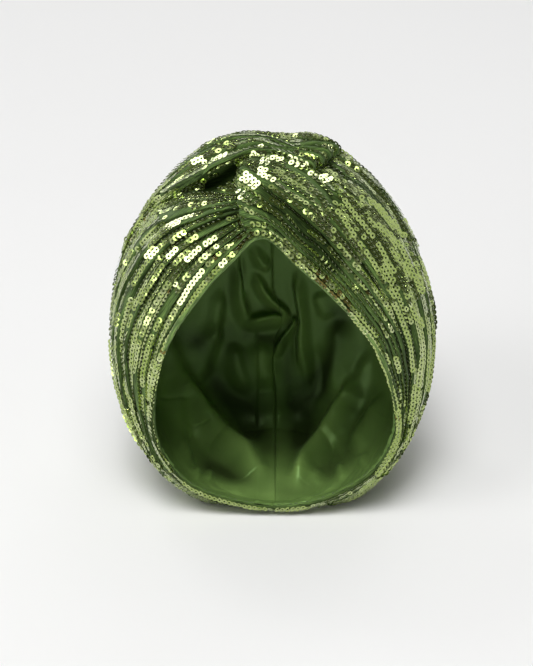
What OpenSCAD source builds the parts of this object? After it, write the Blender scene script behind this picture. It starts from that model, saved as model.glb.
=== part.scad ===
// Pull-on twist-front turban, standing on its nape with the face opening
// towards -Y. Two pleated drapes cross in a twist above the forehead, and
// plain panels close the back of the head over a satin lining.
// +Z is up, +Y is the back of the head, and Z = 0 is the surface it rests on.

/* [Size] */
// Half of the width over the temples
half_w = 93; // [86:1:100]
// Height of the crown shell, without the twist
crown_h = 223; // [210:1:234]
// How far the back of the shell reaches behind the reference section
back_reach = 64; // [58:1:72]
// Shift that puts the middle of the whole hat over the origin
mid_y = 16.35; // [12:0.05:20]

/* [Fabric] */
// Thickness of the pleated outer cloth at a ridge
shell_t = 3.2; // [3:0.1:3.3]
// Depth of a pleat's valley below its ridge
pleat_depth = 2.1; // [0.4:0.1:2.4]
// Pleats across each drape
pleats = 9; // [5:1:10]
// Thickness of the satin lining
lining_t = 0.8; // [0.5:0.1:1.0]
// Thickness of the seam tapes and of the elastic
tape_t = 0.6; // [0.4:0.1:0.6]

/* [Twist] */
// How far the twist stands above the shell
twist_h = 7.5; // [5:0.5:9]
// Ridges across a band of the twist
twist_ridges = 5; // [3:1:6]

/* [Trim] */
// Outer diameter of a sequin
sequin_d = 3.6; // [3:0.1:4]
// Diameter of the hole in a sequin
sequin_hole = 1.2; // [0.8:0.1:1.6]
// Thickness of a sequin
sequin_t = 0.4; // [0.2:0.1:0.5]
// Diameter of the sewing thread
thread_d = 0.5; // [0.3:0.1:0.6]
// Number of hem stitches
stitch_count = 72; // [40:4:90]

/* [Hidden] */

SEWN = "olivedrab";
SATIN = "darkolivegreen";
SHINY = "yellowgreen";

// Face edge, from the forehead peak (0) round one side to the nape, every
// 15 degrees: distance from the middle and height.
RIM = [[0, 206], [22, 187], [35, 169], [46, 153], [55, 137], [62, 122],
       [66.5, 105], [69, 86], [68, 64], [61, 41], [46, 21], [24, 9], [0, 3]];
// The face edge lies in a plane that leans forward at the top.
rim_y = -60;
rim_lean = 0.178;

// Upright sections of the shell, front to back: half width, top, bottom,
// height of the widest place, Y, lean, roundness above and below.
SECTS = [
  [half_w - 8, crown_h - 8, -3, 104, -64, 0.20, 1.80, 2.5],
  [half_w, crown_h, -4, 108, -34, 0.16, 1.80, 2.6],
  [half_w - 3, crown_h - 6, -4, 108, 6, 0.06, 1.90, 2.6],
  [half_w - 20, crown_h - 33, 8, 106, 40, 0, 2.0, 2.3],
  [half_w - 53, crown_h - 74, 56, 104, 58, 0, 2.0, 2.0]];
POLE = [0, back_reach, 104];

function spow(v, p) = sign(v) * pow(abs(v), p);
function cr(a, b, c, d, f) = 0.5 * (2 * b + (c - a) * f
  + (2 * a - 5 * b + 4 * c - d) * f * f + (3 * b - a - 3 * c + d) * f * f * f);

function rim_k(i) = i < 0 ? [-RIM[1][0], RIM[1][1]]
                  : i > 12 ? [-RIM[11][0], RIM[11][1]] : RIM[i];
function rim(a, o) =
  let (t = abs(a) / 15, i = min(11, floor(t)),
       q = cr(rim_k(i - 1), rim_k(i), rim_k(i + 1), rim_k(i + 2), t - i),
       k = [q[0], q[1] - 100], r = q + o * k / norm(k))
  [(a < 0 ? -1 : 1) * r[0], rim_y - rim_lean * r[1], r[1]];

function sect(q, a, o, dy) =
  let (s = sin(a), c = cos(a), p = c >= 0 ? q[6] : q[7],
       x = (q[0] + o) * spow(s, 2 / p),
       z = c >= 0 ? q[3] + (q[1] + o - q[3]) * pow(c, 2 / p)
                  : q[3] - (q[3] - q[2] + o) * pow(-c, 2 / p))
  [x, q[4] + dy - q[5] * (z - q[3]), z];

function station(k, a, o) =
  k == 0 ? rim(a, o)
  : k == 6 ? POLE + [0, o, 0]
  : sect(SECTS[k - 1], a, o, k == 4 ? 0.5 * o : k == 5 ? 0.9 * o : 0);

// A point of the shell: a is the angle round the head from the top, s runs
// from the face edge (0) to the back pole (1), o is the offset outwards.
function form(a0, s, o) =
  let (a = a0 > 180 ? a0 - 360 : a0, t = min(6, max(0, s * 6)), i = min(5, floor(t)),
       b = station(i, a, o), c = station(i + 1, a, o),
       p = i == 0 ? 2 * b - c : station(i - 1, a, o),
       m = station(5, a, o),
       d = i == 5 ? [-m[0], m[1], 2 * POLE[2] - m[2]] : station(i + 2, a, o),
       q = cr(p, b, c, d, t - i))
  [q[0], q[1] + mid_y, max(q[2], max(0, -o))];

function unit(v) = v / norm(v);
function normal(a, s) = unit(cross(form(a + 0.6, s, 0) - form(a - 0.6, s, 0),
                                   form(a, s + 0.004, 0) - form(a, s - 0.004, 0)));

// Angle at which a drape ends in its gathered side seam.
gather = 139;
// Back edge of a drape, as a share of the way from face edge to pole.
function drape_end(a) = abs(a) >= gather ? 0.22
  : 0.22 + 0.36 * pow(sin(abs(a) * 180 / gather), 0.8);

// Closed sheet between an outer and an inner grid of points.
module sheet(top, bot) {
  nu = len(top) - 1;
  nv = len(top[0]) - 1;
  m = (nu + 1) * (nv + 1);
  w = nv + 1;
  pts = concat([for (r = top) each r], [for (r = bot) each r]);
  faces = concat(
    [for (i = [0:nu - 1]) for (j = [0:nv - 1]) each
      let (p = i * w + j) [[p, p + 1, p + w + 1], [p, p + w + 1, p + w]]],
    [for (i = [0:nu - 1]) for (j = [0:nv - 1]) each
      let (p = m + i * w + j) [[p, p + w + 1, p + 1], [p, p + w, p + w + 1]]],
    [for (i = [0:nu - 1]) each
      let (p = i * w, q = p + m) [[p, p + w, q + w], [p, q + w, q]]],
    [for (i = [0:nu - 1]) each
      let (p = i * w + nv, q = p + m) [[p, q + w, p + w], [p, q, q + w]]],
    [for (j = [0:nv - 1]) each
      let (p = j, q = p + m) [[p, q + 1, p + 1], [p, q, q + 1]]],
    [for (j = [0:nv - 1]) each
      let (p = nu * w + j, q = p + m) [[p, p + 1, q + 1], [p, q + 1, q]]]);
  polyhedron(points = pts, faces = faces, convexity = 10);
}

// Depth of the pleats at a place across the drape (0 to 1).
function pleat(v, n, k) = pleat_depth * k * (1 - pow(abs(sin(180 * n * v)), 0.7));

// One pleated side drape, from the twist to the gathered side seam.
module drape() {
  nu = 20;
  nv = 36;
  a0 = 2;
  a1 = gather - 0.5;
  top = [for (i = [0:nu]) let (a = a0 + (a1 - a0) * i / nu, e = drape_end(a) - 0.006)
    [for (j = [0:nv]) let (v = j / nv, s = 0.045 + (e - 0.045) * v)
      form(a, s, -pleat(v, pleats, 1))]];
  bot = [for (i = [0:nu]) let (a = a0 + (a1 - a0) * i / nu, e = drape_end(a) - 0.006)
    [for (j = [0:nv]) let (v = j / nv, s = 0.045 + (e - 0.045) * v)
      form(a, s, -shell_t)]];
  sheet(top, bot);
}

// Plain half of a domed back: the square grid (u, v) is wrapped onto the
// half disc round the back pole, out to the edge given by start + drape_end.
function wrap_a(u, v) = u >= abs(v) ? (u == 0 ? 90 : 90 - 45 * v / u)
  : v > 0 ? 45 * u / v : 180 - 45 * u / abs(v);
function wrap_s(u, v, flat, lap) =
  let (e = flat > 0 ? flat : drape_end(wrap_a(u, v)) + lap)
  1 - max(u, abs(v)) * (1 - e);
module half_back(n, o0, o1, flat, lap) {
  gap = [0.3, 0, 0];
  top = [for (i = [0:n]) [for (j = [0:2 * n])
    let (u = i / n, v = 1 - j / n)
    form(wrap_a(u, v), wrap_s(u, v, flat, lap), o0) + gap]];
  bot = [for (i = [0:n]) [for (j = [0:2 * n])
    let (u = i / n, v = 1 - j / n)
    form(wrap_a(u, v), wrap_s(u, v, flat, lap), o1) + gap]];
  sheet(top, bot);
}

// Plain strip between angles a0..a1 and shares s0..s1.
module strip(a0, a1, s0, s1, o0, o1, nu, nv) {
  sheet([for (i = [0:nu]) [for (j = [0:nv])
           form(a0 + (a1 - a0) * i / nu, s0 + (s1 - s0) * j / nv, o0)]],
        [for (i = [0:nu]) [for (j = [0:nv])
           form(a0 + (a1 - a0) * i / nu, s0 + (s1 - s0) * j / nv, o1)]]);
}

// Band of the twist: four corners in (angle, share), raised in the middle
// and ribbed across. The long way runs along u.
function mix(a, b, t) = a + (b - a) * t;
module twist_band(c00, c01, c10, c11, h, n) {
  nu = 14;
  nv = 4 * n;
  lift = 0.5;
  top = [for (i = [0:nu]) [for (j = [0:nv])
    let (u = i / nu, v = j / nv,
         c = mix(mix(c00, c01, v), mix(c10, c11, v), u),
         hump = pow(sin(10 + 160 * u), 0.8) * pow(sin(12 + 156 * v), 0.6),
         rib = 0.22 * h * (1 - pow(abs(sin(180 * n * v)), 0.7)))
    form(c[0], c[1], lift + max(0.8, h * hump - rib))]];
  bot = [for (i = [0:nu]) [for (j = [0:nv])
    let (u = i / nu, v = j / nv, c = mix(mix(c00, c01, v), mix(c10, c11, v), u))
    form(c[0], c[1], lift)]];
  sheet(top, bot);
}

module left_drape() color(SEWN) mirror([1, 0, 0]) drape();
module right_drape() color(SEWN) drape();

// The band of the left drape that passes over the top of the twist.
module left_twist_loop() color(SEWN)
  twist_band([-38, 0.38], [-32, 0.56], [12, 0.36], [20, 0.50], twist_h, twist_ridges);

// The band of the right drape that wraps round the front of the twist.
module right_twist_loop() color(SEWN)
  twist_band([-8, 0.05], [-13, 0.33], [32, 0.05], [28, 0.21], twist_h, twist_ridges);

module back_panel_left() color(SEWN) mirror([1, 0, 0]) half_back(15, 0, -shell_t, 0, 0.006);
module back_panel_right() color(SEWN) half_back(15, 0, -shell_t, 0, 0.006);

// Narrow band along the nape, with its rows along the face edge.
module nape_band() color(SEWN)
  strip(gather + 0.5, 360 - gather - 0.5, 0.045, 0.216, 0, -shell_t, 24, 5);

lining_o = -shell_t - tape_t - 0.3;
module lining_left() color(SATIN) mirror([1, 0, 0])
  half_back(14, lining_o, lining_o - lining_t, 0.045, 0);
module lining_right() color(SATIN)
  half_back(14, lining_o, lining_o - lining_t, 0.045, 0);

// Turned edge that joins shell and lining along the face edge.
module facing() strip(0.4, 179.6, 0, 0.038, 0.2, lining_o - lining_t, 36, 1);
module rim_facing_left() color(SEWN) mirror([1, 0, 0]) facing();
module rim_facing_right() color(SEWN) facing();

// Flat elastic in the nape hem, between shell and lining.
tape_o = -shell_t - 0.15;
module nape_elastic() color("white")
  strip(150, 210, 0.055, 0.10, tape_o, tape_o - tape_t, 16, 1);

// Pressed seam allowance down the middle of the back, from crown to nape.
function mid(t, x, o) = let (s = t < 0.5 ? 0.27 + 1.46 * t : 1.73 - 1.46 * t,
  q = form(t < 0.5 ? 0 : 180, s, o)) [x, q[1], q[2]];
module centre_back_tape() color(SEWN) {
  n = 26;
  sheet([for (i = [0:n]) [mid(i / n, 4, tape_o), mid(i / n, -4, tape_o)]],
        [for (i = [0:n]) [mid(i / n, 4, tape_o - tape_t), mid(i / n, -4, tape_o - tape_t)]]);
}

// Seam allowance where the drapes are sewn to the back panels.
module crown_seam_tape() color(SEWN) {
  n = 44;
  sheet([for (i = [0:n]) let (a = -132 + 264 * i / n, e = drape_end(a))
          [form(a, e - 0.014, tape_o), form(a, e + 0.014, tape_o)]],
        [for (i = [0:n]) let (a = -132 + 264 * i / n, e = drape_end(a))
          [form(a, e - 0.014, tape_o - tape_t), form(a, e + 0.014, tape_o - tape_t)]]);
}

// Seam allowance of the gathered side seam beside the nape band.
module side_seam() strip(gather - 3, gather + 3, 0.05, 0.19, tape_o, tape_o - tape_t, 2, 5);
module left_side_seam_tape() color(SEWN) mirror([1, 0, 0]) side_seam();
module right_side_seam_tape() color(SEWN) side_seam();

// Round bar of thread between two points.
module stitch(p, q) {
  d = q - p;
  translate(p) rotate([0, acos(d[2] / norm(d)), atan2(d[1], d[0])])
    cylinder(h = norm(d), d = thread_d, $fn = 16);
}

// Stitches of the hem, on the lining just inside the face edge.
module hem_stitches() color(SHINY)
  for (i = [0:stitch_count - 1])
    let (a = -178 + 356 * (i + 0.2) / stitch_count, o = lining_o - lining_t - 0.4)
      stitch(form(a, 0.052, o), form(a + 356 * 0.55 / stitch_count, 0.052, o));

// Hidden tacks that hold the twist's bands on the shell.
module knot_tack_stitches() color(SHINY)
  for (c = [[-6, 0.10], [-9, 0.22], [22, 0.08], [20, 0.16],
            [-30, 0.43], [-26, 0.51], [6, 0.40], [12, 0.46]])
    stitch(form(c[0], c[1], 0.05), form(c[0], c[1], 0.45));

// One sequin on the shell at angle a and share s, lifted by o.
module sequin(a, s, o) {
  n = normal(a, s);
  translate(form(a, s, o)) rotate([0, acos(n[2]), atan2(n[1], n[0])])
    difference() {
      cylinder(h = sequin_t, d = sequin_d, $fn = 20);
      translate([0, 0, -1]) cylinder(h = sequin_t + 2, d = sequin_hole, $fn = 16);
    }
}

// Rows of sequins along the ridges of a drape.
module drape_sequins()
  for (k = [1:2:pleats]) for (i = [0:8])
    let (a = 34 + 11 * i, v = (k - 0.5) / pleats, e = drape_end(a) - 0.006)
      sequin(a, 0.045 + (e - 0.045) * v, 0.25);
module sequins_left_drape() color(SHINY) mirror([1, 0, 0]) drape_sequins();
module sequins_right_drape() color(SHINY) drape_sequins();

// Short rows of sequins on the crest of the front band of the twist.
module sequins_knot() color(SHINY)
  for (k = [0:2]) for (i = [0:6])
    sequin(-4 + 3 * i, 0.11 + 0.055 * k, twist_h + 1.1);

// Rows over the back panels.
module sequins_back() color(SHINY)
  for (k = [0:3]) for (i = [0:7])
    sequin(k < 2 ? 24 + 16 * i : -24 - 16 * i, k % 2 == 0 ? 0.64 : 0.78, 0.25);

// Rows along the nape band, clear of the surface it rests on.
module sequins_nape() color(SHINY)
  for (side = [-1, 1]) for (k = [0:1]) for (i = [0:4])
    sequin(side * (142 + 2.8 * i), 0.075 + 0.07 * k, 0.25);

left_drape();
right_drape();
left_twist_loop();
right_twist_loop();
back_panel_left();
back_panel_right();
nape_band();
lining_left();
lining_right();
rim_facing_left();
rim_facing_right();
nape_elastic();
centre_back_tape();
crown_seam_tape();
left_side_seam_tape();
right_side_seam_tape();
hem_stitches();
knot_tack_stitches();
sequins_left_drape();
sequins_right_drape();
sequins_knot();
sequins_back();
sequins_nape();
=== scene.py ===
import math
import bpy
import numpy as np
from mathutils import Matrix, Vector
from mathutils.kdtree import KDTree


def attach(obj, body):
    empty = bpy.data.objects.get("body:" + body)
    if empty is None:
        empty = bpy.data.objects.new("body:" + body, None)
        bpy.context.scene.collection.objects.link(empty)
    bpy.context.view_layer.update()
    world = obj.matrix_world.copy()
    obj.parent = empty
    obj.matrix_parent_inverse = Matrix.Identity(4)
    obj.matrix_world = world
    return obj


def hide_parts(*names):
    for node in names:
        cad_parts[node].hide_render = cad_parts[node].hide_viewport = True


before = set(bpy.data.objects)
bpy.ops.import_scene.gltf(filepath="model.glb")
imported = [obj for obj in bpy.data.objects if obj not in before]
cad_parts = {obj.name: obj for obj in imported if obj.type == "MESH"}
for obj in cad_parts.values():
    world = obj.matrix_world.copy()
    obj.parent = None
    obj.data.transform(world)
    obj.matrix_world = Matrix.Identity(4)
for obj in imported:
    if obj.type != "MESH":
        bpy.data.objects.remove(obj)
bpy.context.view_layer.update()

rng = np.random.default_rng(11)
MM = 0.001

# ------------------------------------------------------------------ form
HALF_W, CROWN_H, BACK, MID_Y = 93.0, 223.0, 64.0, 16.35
SECS = np.array([
    [HALF_W - 8, CROWN_H - 8, -3, 104, -64, 0.20, 1.80, 2.5],
    [HALF_W, CROWN_H, -4, 108, -34, 0.16, 1.80, 2.6],
    [HALF_W - 3, CROWN_H - 6, -4, 108, 6, 0.06, 1.90, 2.6],
    [HALF_W - 20, CROWN_H - 33, 8, 106, 40, 0.0, 2.0, 2.3],
    [HALF_W - 53, CROWN_H - 74, 56, 104, 58, 0.0, 2.0, 2.0]], float)
POLE = np.array([0.0, BACK, 104.0])
# Face edge, every 15 degrees from forehead to nape: distance from the middle and height.
EDGE_L = [(-5, 205), (-22, 188.5), (-35.5, 171), (-46, 153), (-54.5, 137.5), (-61, 122), (-66, 104),
          (-68.5, 84), (-68, 62), (-60, 40), (-45, 22), (-23, 11.5), (0, 6.5)]
EDGE_R = [(-5, 205), (14, 185.5), (31, 167), (43, 152), (53, 137.5), (60.5, 122.5), (66.5, 105),
          (71, 84), (71.5, 64), (62.5, 40), (45, 21.5), (22, 9), (0, 6.5)]
RING = np.array(EDGE_L[::-1][:-1] + EDGE_R[:-1], float)


def cr(p0, p1, p2, p3, f):
    return 0.5 * (2 * p1 + (p2 - p0) * f + (2 * p0 - 5 * p1 + 4 * p2 - p3) * f * f + (3 * p1 - p0 - 3 * p2 + p3) * f ** 3)


def edge(phi, off):
    t = (np.asarray(phi, float) + 180) / 15.0
    i = np.floor(t).astype(int)
    f = (t - i)[..., None]
    g = lambda k: RING[np.mod(k, 24)]
    q = cr(g(i - 1), g(i), g(i + 1), g(i + 2), f)
    k = np.stack([q[..., 0], q[..., 1] - 100], -1)
    q = q + off[..., None] * k / np.linalg.norm(k, axis=-1, keepdims=True)
    return np.stack([q[..., 0], -60 - 0.178 * q[..., 1], q[..., 1]], -1)


def sect(phi, q, off):
    a, zt, zb, zw, y0, lean, pu, pl = q
    ph = np.radians(phi)
    s, c = np.sin(ph), np.cos(ph)
    up = c >= 0
    p = np.where(up, pu, pl)
    x = (a + off) * np.sign(s) * np.abs(s) ** (2 / p)
    z = np.where(up, zw + (zt + off - zw) * np.abs(c) ** (2 / p), zw - (zw - zb + off) * np.abs(c) ** (2 / p))
    return np.stack([x, y0 - lean * (z - zw), z], -1)


def form(phi, s, off=0.0):
    """A point of the head form in mm: phi round the head from the top, s from the face edge (0) to the back (1)."""
    phi, s, off = np.broadcast_arrays(np.asarray(phi, float), np.asarray(s, float), np.asarray(off, float))
    phi = np.where(phi > 180, phi - 360, phi)
    ks = [edge(phi, off)] + [sect(phi, q, off) for q in SECS]
    pole = np.zeros(phi.shape + (3,))
    pole[...] = POLE
    pole[..., 1] += off
    ks.append(pole)
    ks[4][..., 1] += off * 0.5
    ks[5][..., 1] += off * 0.9
    tab = np.stack(ks)
    n = len(ks)
    t = np.clip(s * (n - 1), 0, n - 1 - 1e-9)
    i = np.floor(t).astype(int)
    f = (t - i)[..., None]

    def g(k):
        return np.take_along_axis(tab, np.clip(k, 0, n - 1)[None, ..., None], 0)[0]
    p1, p2 = g(i), g(i + 1)
    p0 = np.where((i == 0)[..., None], 2 * p1 - p2, g(i - 1))
    m = g(np.full_like(i, n - 2))
    m = np.stack([-m[..., 0], m[..., 1], 2 * POLE[2] - m[..., 2]], -1)
    p3 = np.where((i == n - 2)[..., None], m, g(i + 2))
    out = cr(p0, p1, p2, p3, f)
    out[..., 1] += MID_Y
    out[..., 2] = np.maximum(out[..., 2], np.maximum(0.0, -off))
    return out


# ------------------------------------------------------------------ small tools
def smooth(a, axis, n=1):
    """Averages neighbours along an axis, keeping both ends."""
    a = np.moveaxis(np.array(a, float), axis, 0)
    for _ in range(n):
        lo, hi = 2 * a[:1] - a[1:2], 2 * a[-1:] - a[-2:-1]
        p = np.concatenate([lo, a, hi])
        a = (p[:-2] + 2 * p[1:-1] + p[2:]) / 4
    return np.moveaxis(a, 0, axis)


def noise2(u, v, seed, octaves=3, freq=1.0):
    """Smooth value noise, the same every run, from sums of sines."""
    r = np.random.default_rng(seed)
    out = np.zeros(np.broadcast(u, v).shape)
    amp, tot = 1.0, 0.0
    for o in range(octaves):
        for _ in range(4):
            a = r.uniform(0, 2 * np.pi)
            f = freq * (2 ** o) * r.uniform(0.7, 1.3)
            out = out + amp * np.sin(2 * np.pi * f * (np.cos(a) * u + np.sin(a) * v) + r.uniform(0, 2 * np.pi))
        tot += amp * 2.0
        amp *= 0.5
    return out / tot


def normals(P):
    n = np.cross(np.gradient(P, axis=0), np.gradient(P, axis=1))
    n /= np.maximum(np.linalg.norm(n, axis=-1, keepdims=True), 1e-12)
    return n


def mesh_object(name, V, F, uv=None, mat=None, attrs=None, soft=True):
    """V in mm; F an (n, 4) array of quads; uv one pair per vertex."""
    me = bpy.data.meshes.new(name)
    V = np.asarray(V, np.float64) * MM
    F = np.asarray(F, np.int32)
    k = F.shape[1]
    me.vertices.add(len(V))
    me.vertices.foreach_set("co", V.astype(np.float32).ravel())
    me.loops.add(F.size)
    me.loops.foreach_set("vertex_index", F.ravel())
    me.polygons.add(len(F))
    me.polygons.foreach_set("loop_start", np.arange(0, F.size, k, dtype=np.int32))
    me.polygons.foreach_set("loop_total", np.full(len(F), k, np.int32))
    me.polygons.foreach_set("use_smooth", np.full(len(F), soft))
    if uv is not None:
        layer = me.uv_layers.new(name="cloth")
        layer.data.foreach_set("uv", np.asarray(uv, np.float32)[F.ravel()].ravel())
    for key, val in (attrs or {}).items():
        a = me.attributes.new(key, "FLOAT", "POINT")
        a.data.foreach_set("value", np.asarray(val, np.float32))
    me.update(calc_edges=True)
    me.validate()
    ob = bpy.data.objects.new(name, me)
    bpy.context.scene.collection.objects.link(ob)
    if mat:
        me.materials.append(mat)
    return ob


def shell(name, P, t, uv, mat, attrs=None, flip=False):
    """A closed sheet of thickness t (mm) under the grid P."""
    if flip:
        P, uv = P[::-1], uv[::-1]
        attrs = {k: v[::-1] for k, v in (attrs or {}).items()}
    N = smooth(smooth(normals(P), 0, 2), 1, 2)
    N /= np.linalg.norm(N, axis=-1, keepdims=True)
    nu, nv = P.shape[:2]
    Q = P - N * t
    V = np.concatenate([P.reshape(-1, 3), Q.reshape(-1, 3)])
    UV = np.concatenate([uv.reshape(-1, 2)] * 2)
    idx = np.arange(nu * nv).reshape(nu, nv)
    a, b, c, d = idx[:-1, :-1], idx[1:, :-1], idx[1:, 1:], idx[:-1, 1:]
    m = nu * nv
    top = np.stack([a, b, c, d], -1).reshape(-1, 4)
    bot = np.stack([a, d, c, b], -1).reshape(-1, 4) + m
    sides = []
    for e in (idx[:, 0][::-1], idx[-1, :][::-1], idx[:, -1], idx[0, :]):
        sides.append(np.stack([e[:-1], e[1:], e[1:] + m, e[:-1] + m], -1))
    F = np.concatenate([top, bot] + sides)
    at = {k: np.concatenate([v.ravel()] * 2) for k, v in (attrs or {}).items()}
    return mesh_object(name, V, F, UV, mat, at)


def arc(P, axis):
    d = np.linalg.norm(np.diff(P, axis=axis), axis=-1)
    z = np.zeros_like(np.take(d, [0], axis))
    return np.concatenate([z, np.cumsum(d, axis)], axis)


# ------------------------------------------------------------------ materials
def new_mat(name):
    m = bpy.data.materials.new(name)
    m.use_nodes = True
    nt = m.node_tree
    return m, nt, nt.nodes["Principled BSDF"]


def node(nt, kind, **kw):
    n = nt.nodes.new(kind)
    for k, v in kw.items():
        if k.startswith("in_"):
            n.inputs[k[3:].replace("_", " ")].default_value = v
        else:
            setattr(n, k, v)
    return n


def ramp(nt, fac, stops):
    r = node(nt, "ShaderNodeValToRGB")
    els = r.color_ramp.elements
    while len(els) < len(stops):
        els.new(0.5)
    for e, (p, c) in zip(els, stops):
        e.position = p
        e.color = (*c, 1)
    nt.links.new(fac, r.inputs[0])
    return r.outputs[0]


def maths(nt, op, a, b=None, c=None):
    n = node(nt, "ShaderNodeMath", operation=op)
    for i, x in enumerate((a, b, c)):
        if x is None:
            continue
        if isinstance(x, (int, float)):
            n.inputs[i].default_value = x
        else:
            nt.links.new(x, n.inputs[i])
    return n.outputs[0]


def knit(name, dark, light, rough=0.75, rib=1.1, sheen=0.35, on_uv=True, painted_shading=False):
    """Fine ribbed knit: ribs across the strip, loops along it, soft colour drift."""
    m, nt, b = new_mat(name)
    L = nt.links
    sep = node(nt, "ShaderNodeSeparateXYZ")
    if on_uv:
        uv = node(nt, "ShaderNodeUVMap", uv_map="cloth")
        L.new(uv.outputs[0], sep.inputs[0])
    else:
        ob = node(nt, "ShaderNodeTexCoord")
        mp = node(nt, "ShaderNodeMapping")
        mp.inputs["Scale"].default_value = (1000.0, 1000.0, 1000.0)
        mp.inputs["Rotation"].default_value = (0.0, 0.6, 0.8)
        L.new(ob.outputs["Object"], mp.inputs[0])
        L.new(mp.outputs[0], sep.inputs[0])
    ribs = maths(nt, "ABSOLUTE", maths(nt, "SINE", maths(nt, "MULTIPLY", sep.outputs[1], math.pi / rib)))
    loops = maths(nt, "ABSOLUTE", maths(nt, "SINE", maths(nt, "ADD", maths(nt, "MULTIPLY", sep.outputs[0], math.pi / 0.8),
                  maths(nt, "MULTIPLY", ribs, 1.4))))
    weave = maths(nt, "ADD", maths(nt, "MULTIPLY", ribs, 0.65), maths(nt, "MULTIPLY", loops, 0.35))
    tc = node(nt, "ShaderNodeTexCoord")
    big = node(nt, "ShaderNodeTexNoise", in_Scale=38.0, in_Detail=3.0)
    fine = node(nt, "ShaderNodeTexNoise", in_Scale=900.0, in_Detail=2.0)
    L.new(tc.outputs["Object"], big.inputs["Vector"])
    L.new(tc.outputs["Object"], fine.inputs["Vector"])
    mixv = maths(nt, "ADD", maths(nt, "MULTIPLY", weave, 0.45),
                 maths(nt, "ADD", maths(nt, "MULTIPLY", big.outputs[0], 0.45), maths(nt, "MULTIPLY", fine.outputs[0], 0.25)))
    col = ramp(nt, mixv, [(0.25, dark), (0.85, light)])
    if painted_shading:
        # painted shade: the colour, gloss and sheen are lowered where the shading attribute is low, as in the bottoms
        # of the pleats
        at = node(nt, "ShaderNodeAttribute", attribute_name="painted_shading")
        mul = node(nt, "ShaderNodeMix", data_type="RGBA", blend_type="MULTIPLY")
        mul.inputs[0].default_value = 1.0
        L.new(col, mul.inputs[6])
        L.new(ramp(nt, at.outputs["Fac"], [(0.0, (0.05, 0.06, 0.05)), (0.85, (1, 1, 1))]), mul.inputs[7])
        col = mul.outputs[2]
        # painted light and shade: crinkles drawn out along the rows, as darker and lighter streaks in the colour
        cu = node(nt, "ShaderNodeUVMap", uv_map="cloth")
        cm = node(nt, "ShaderNodeMapping")
        cm.inputs["Scale"].default_value = (0.11, 0.75, 1.0)
        L.new(cu.outputs[0], cm.inputs[0])
        crk = node(nt, "ShaderNodeTexNoise", in_Scale=1.0, in_Detail=3.0)
        L.new(cm.outputs[0], crk.inputs["Vector"])
        cmul = node(nt, "ShaderNodeMix", data_type="RGBA", blend_type="MULTIPLY")
        cmul.inputs[0].default_value = 1.0
        L.new(col, cmul.inputs[6])
        L.new(ramp(nt, crk.outputs[0], [(0.34, (0.42, 0.45, 0.42)), (0.52, (0.95, 0.95, 0.95)), (0.68, (1.45, 1.4, 1.35))]), cmul.inputs[7])
        col = cmul.outputs[2]
        L.new(maths(nt, "MULTIPLY", at.outputs["Fac"], 0.25), b.inputs["Specular IOR Level"])
        L.new(maths(nt, "MULTIPLY", at.outputs["Fac"], sheen), b.inputs["Sheen Weight"])
    L.new(col, b.inputs["Base Color"])
    rr = maths(nt, "ADD", maths(nt, "MULTIPLY", fine.outputs[0], 0.12), rough - 0.06)
    L.new(rr, b.inputs["Roughness"])
    b.inputs["Sheen Weight"].default_value = sheen
    b.inputs["Sheen Roughness"].default_value = 0.45
    b.inputs["Specular IOR Level"].default_value = 0.3
    bump = node(nt, "ShaderNodeBump", in_Strength=0.5, in_Distance=0.0003)
    L.new(weave, bump.inputs["Height"])
    L.new(bump.outputs[0], b.inputs["Normal"])
    return m


def satin(name):
    m, nt, b = new_mat(name)
    L = nt.links
    tc = node(nt, "ShaderNodeTexCoord")
    uv = node(nt, "ShaderNodeUVMap", uv_map="cloth")
    big = node(nt, "ShaderNodeTexNoise", in_Scale=16.0, in_Detail=4.0)
    L.new(tc.outputs["Object"], big.inputs["Vector"])
    mp = node(nt, "ShaderNodeMapping")
    mp.inputs["Scale"].default_value = (0.25, 5.0, 1.0)
    L.new(uv.outputs[0], mp.inputs[0])
    yarn = node(nt, "ShaderNodeTexNoise", in_Scale=1.2, in_Detail=3.0)
    L.new(mp.outputs[0], yarn.inputs["Vector"])
    v = maths(nt, "ADD", maths(nt, "MULTIPLY", big.outputs[0], 0.6), maths(nt, "MULTIPLY", yarn.outputs[0], 0.4))
    col = ramp(nt, v, [(0.3, (0.091, 0.160, 0.037)), (0.7, (0.143, 0.236, 0.063))])
    # painted light and shade: the satin colour is darkened in the hollows and lightened on the fold tops by a
    # per-vertex shading attribute
    at = node(nt, "ShaderNodeAttribute", attribute_name="painted_shading")
    mul = node(nt, "ShaderNodeMix", data_type="RGBA", blend_type="MULTIPLY")
    mul.inputs[0].default_value = 1.0
    L.new(col, mul.inputs[6])
    L.new(ramp(nt, at.outputs["Fac"], [(0.0, (0.22, 0.20, 0.22)), (0.55, (1.0, 1.0, 1.0)), (1.0, (1.75, 1.68, 1.75))]), mul.inputs[7])
    L.new(mul.outputs[2], b.inputs["Base Color"])
    L.new(maths(nt, "ADD", maths(nt, "MULTIPLY", yarn.outputs[0], 0.12), 0.30), b.inputs["Roughness"])
    b.inputs["Specular IOR Level"].default_value = 0.6
    b.inputs["Specular Tint"].default_value = (0.55, 0.9, 0.35, 1)
    b.inputs["Sheen Weight"].default_value = 0.08
    b.inputs["Sheen Roughness"].default_value = 0.35
    b.inputs["Sheen Tint"].default_value = (0.5, 0.8, 0.35, 1)
    bump = node(nt, "ShaderNodeBump", in_Strength=0.25, in_Distance=0.00012)
    L.new(yarn.outputs[0], bump.inputs["Height"])
    L.new(bump.outputs[0], b.inputs["Normal"])
    return m


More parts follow.
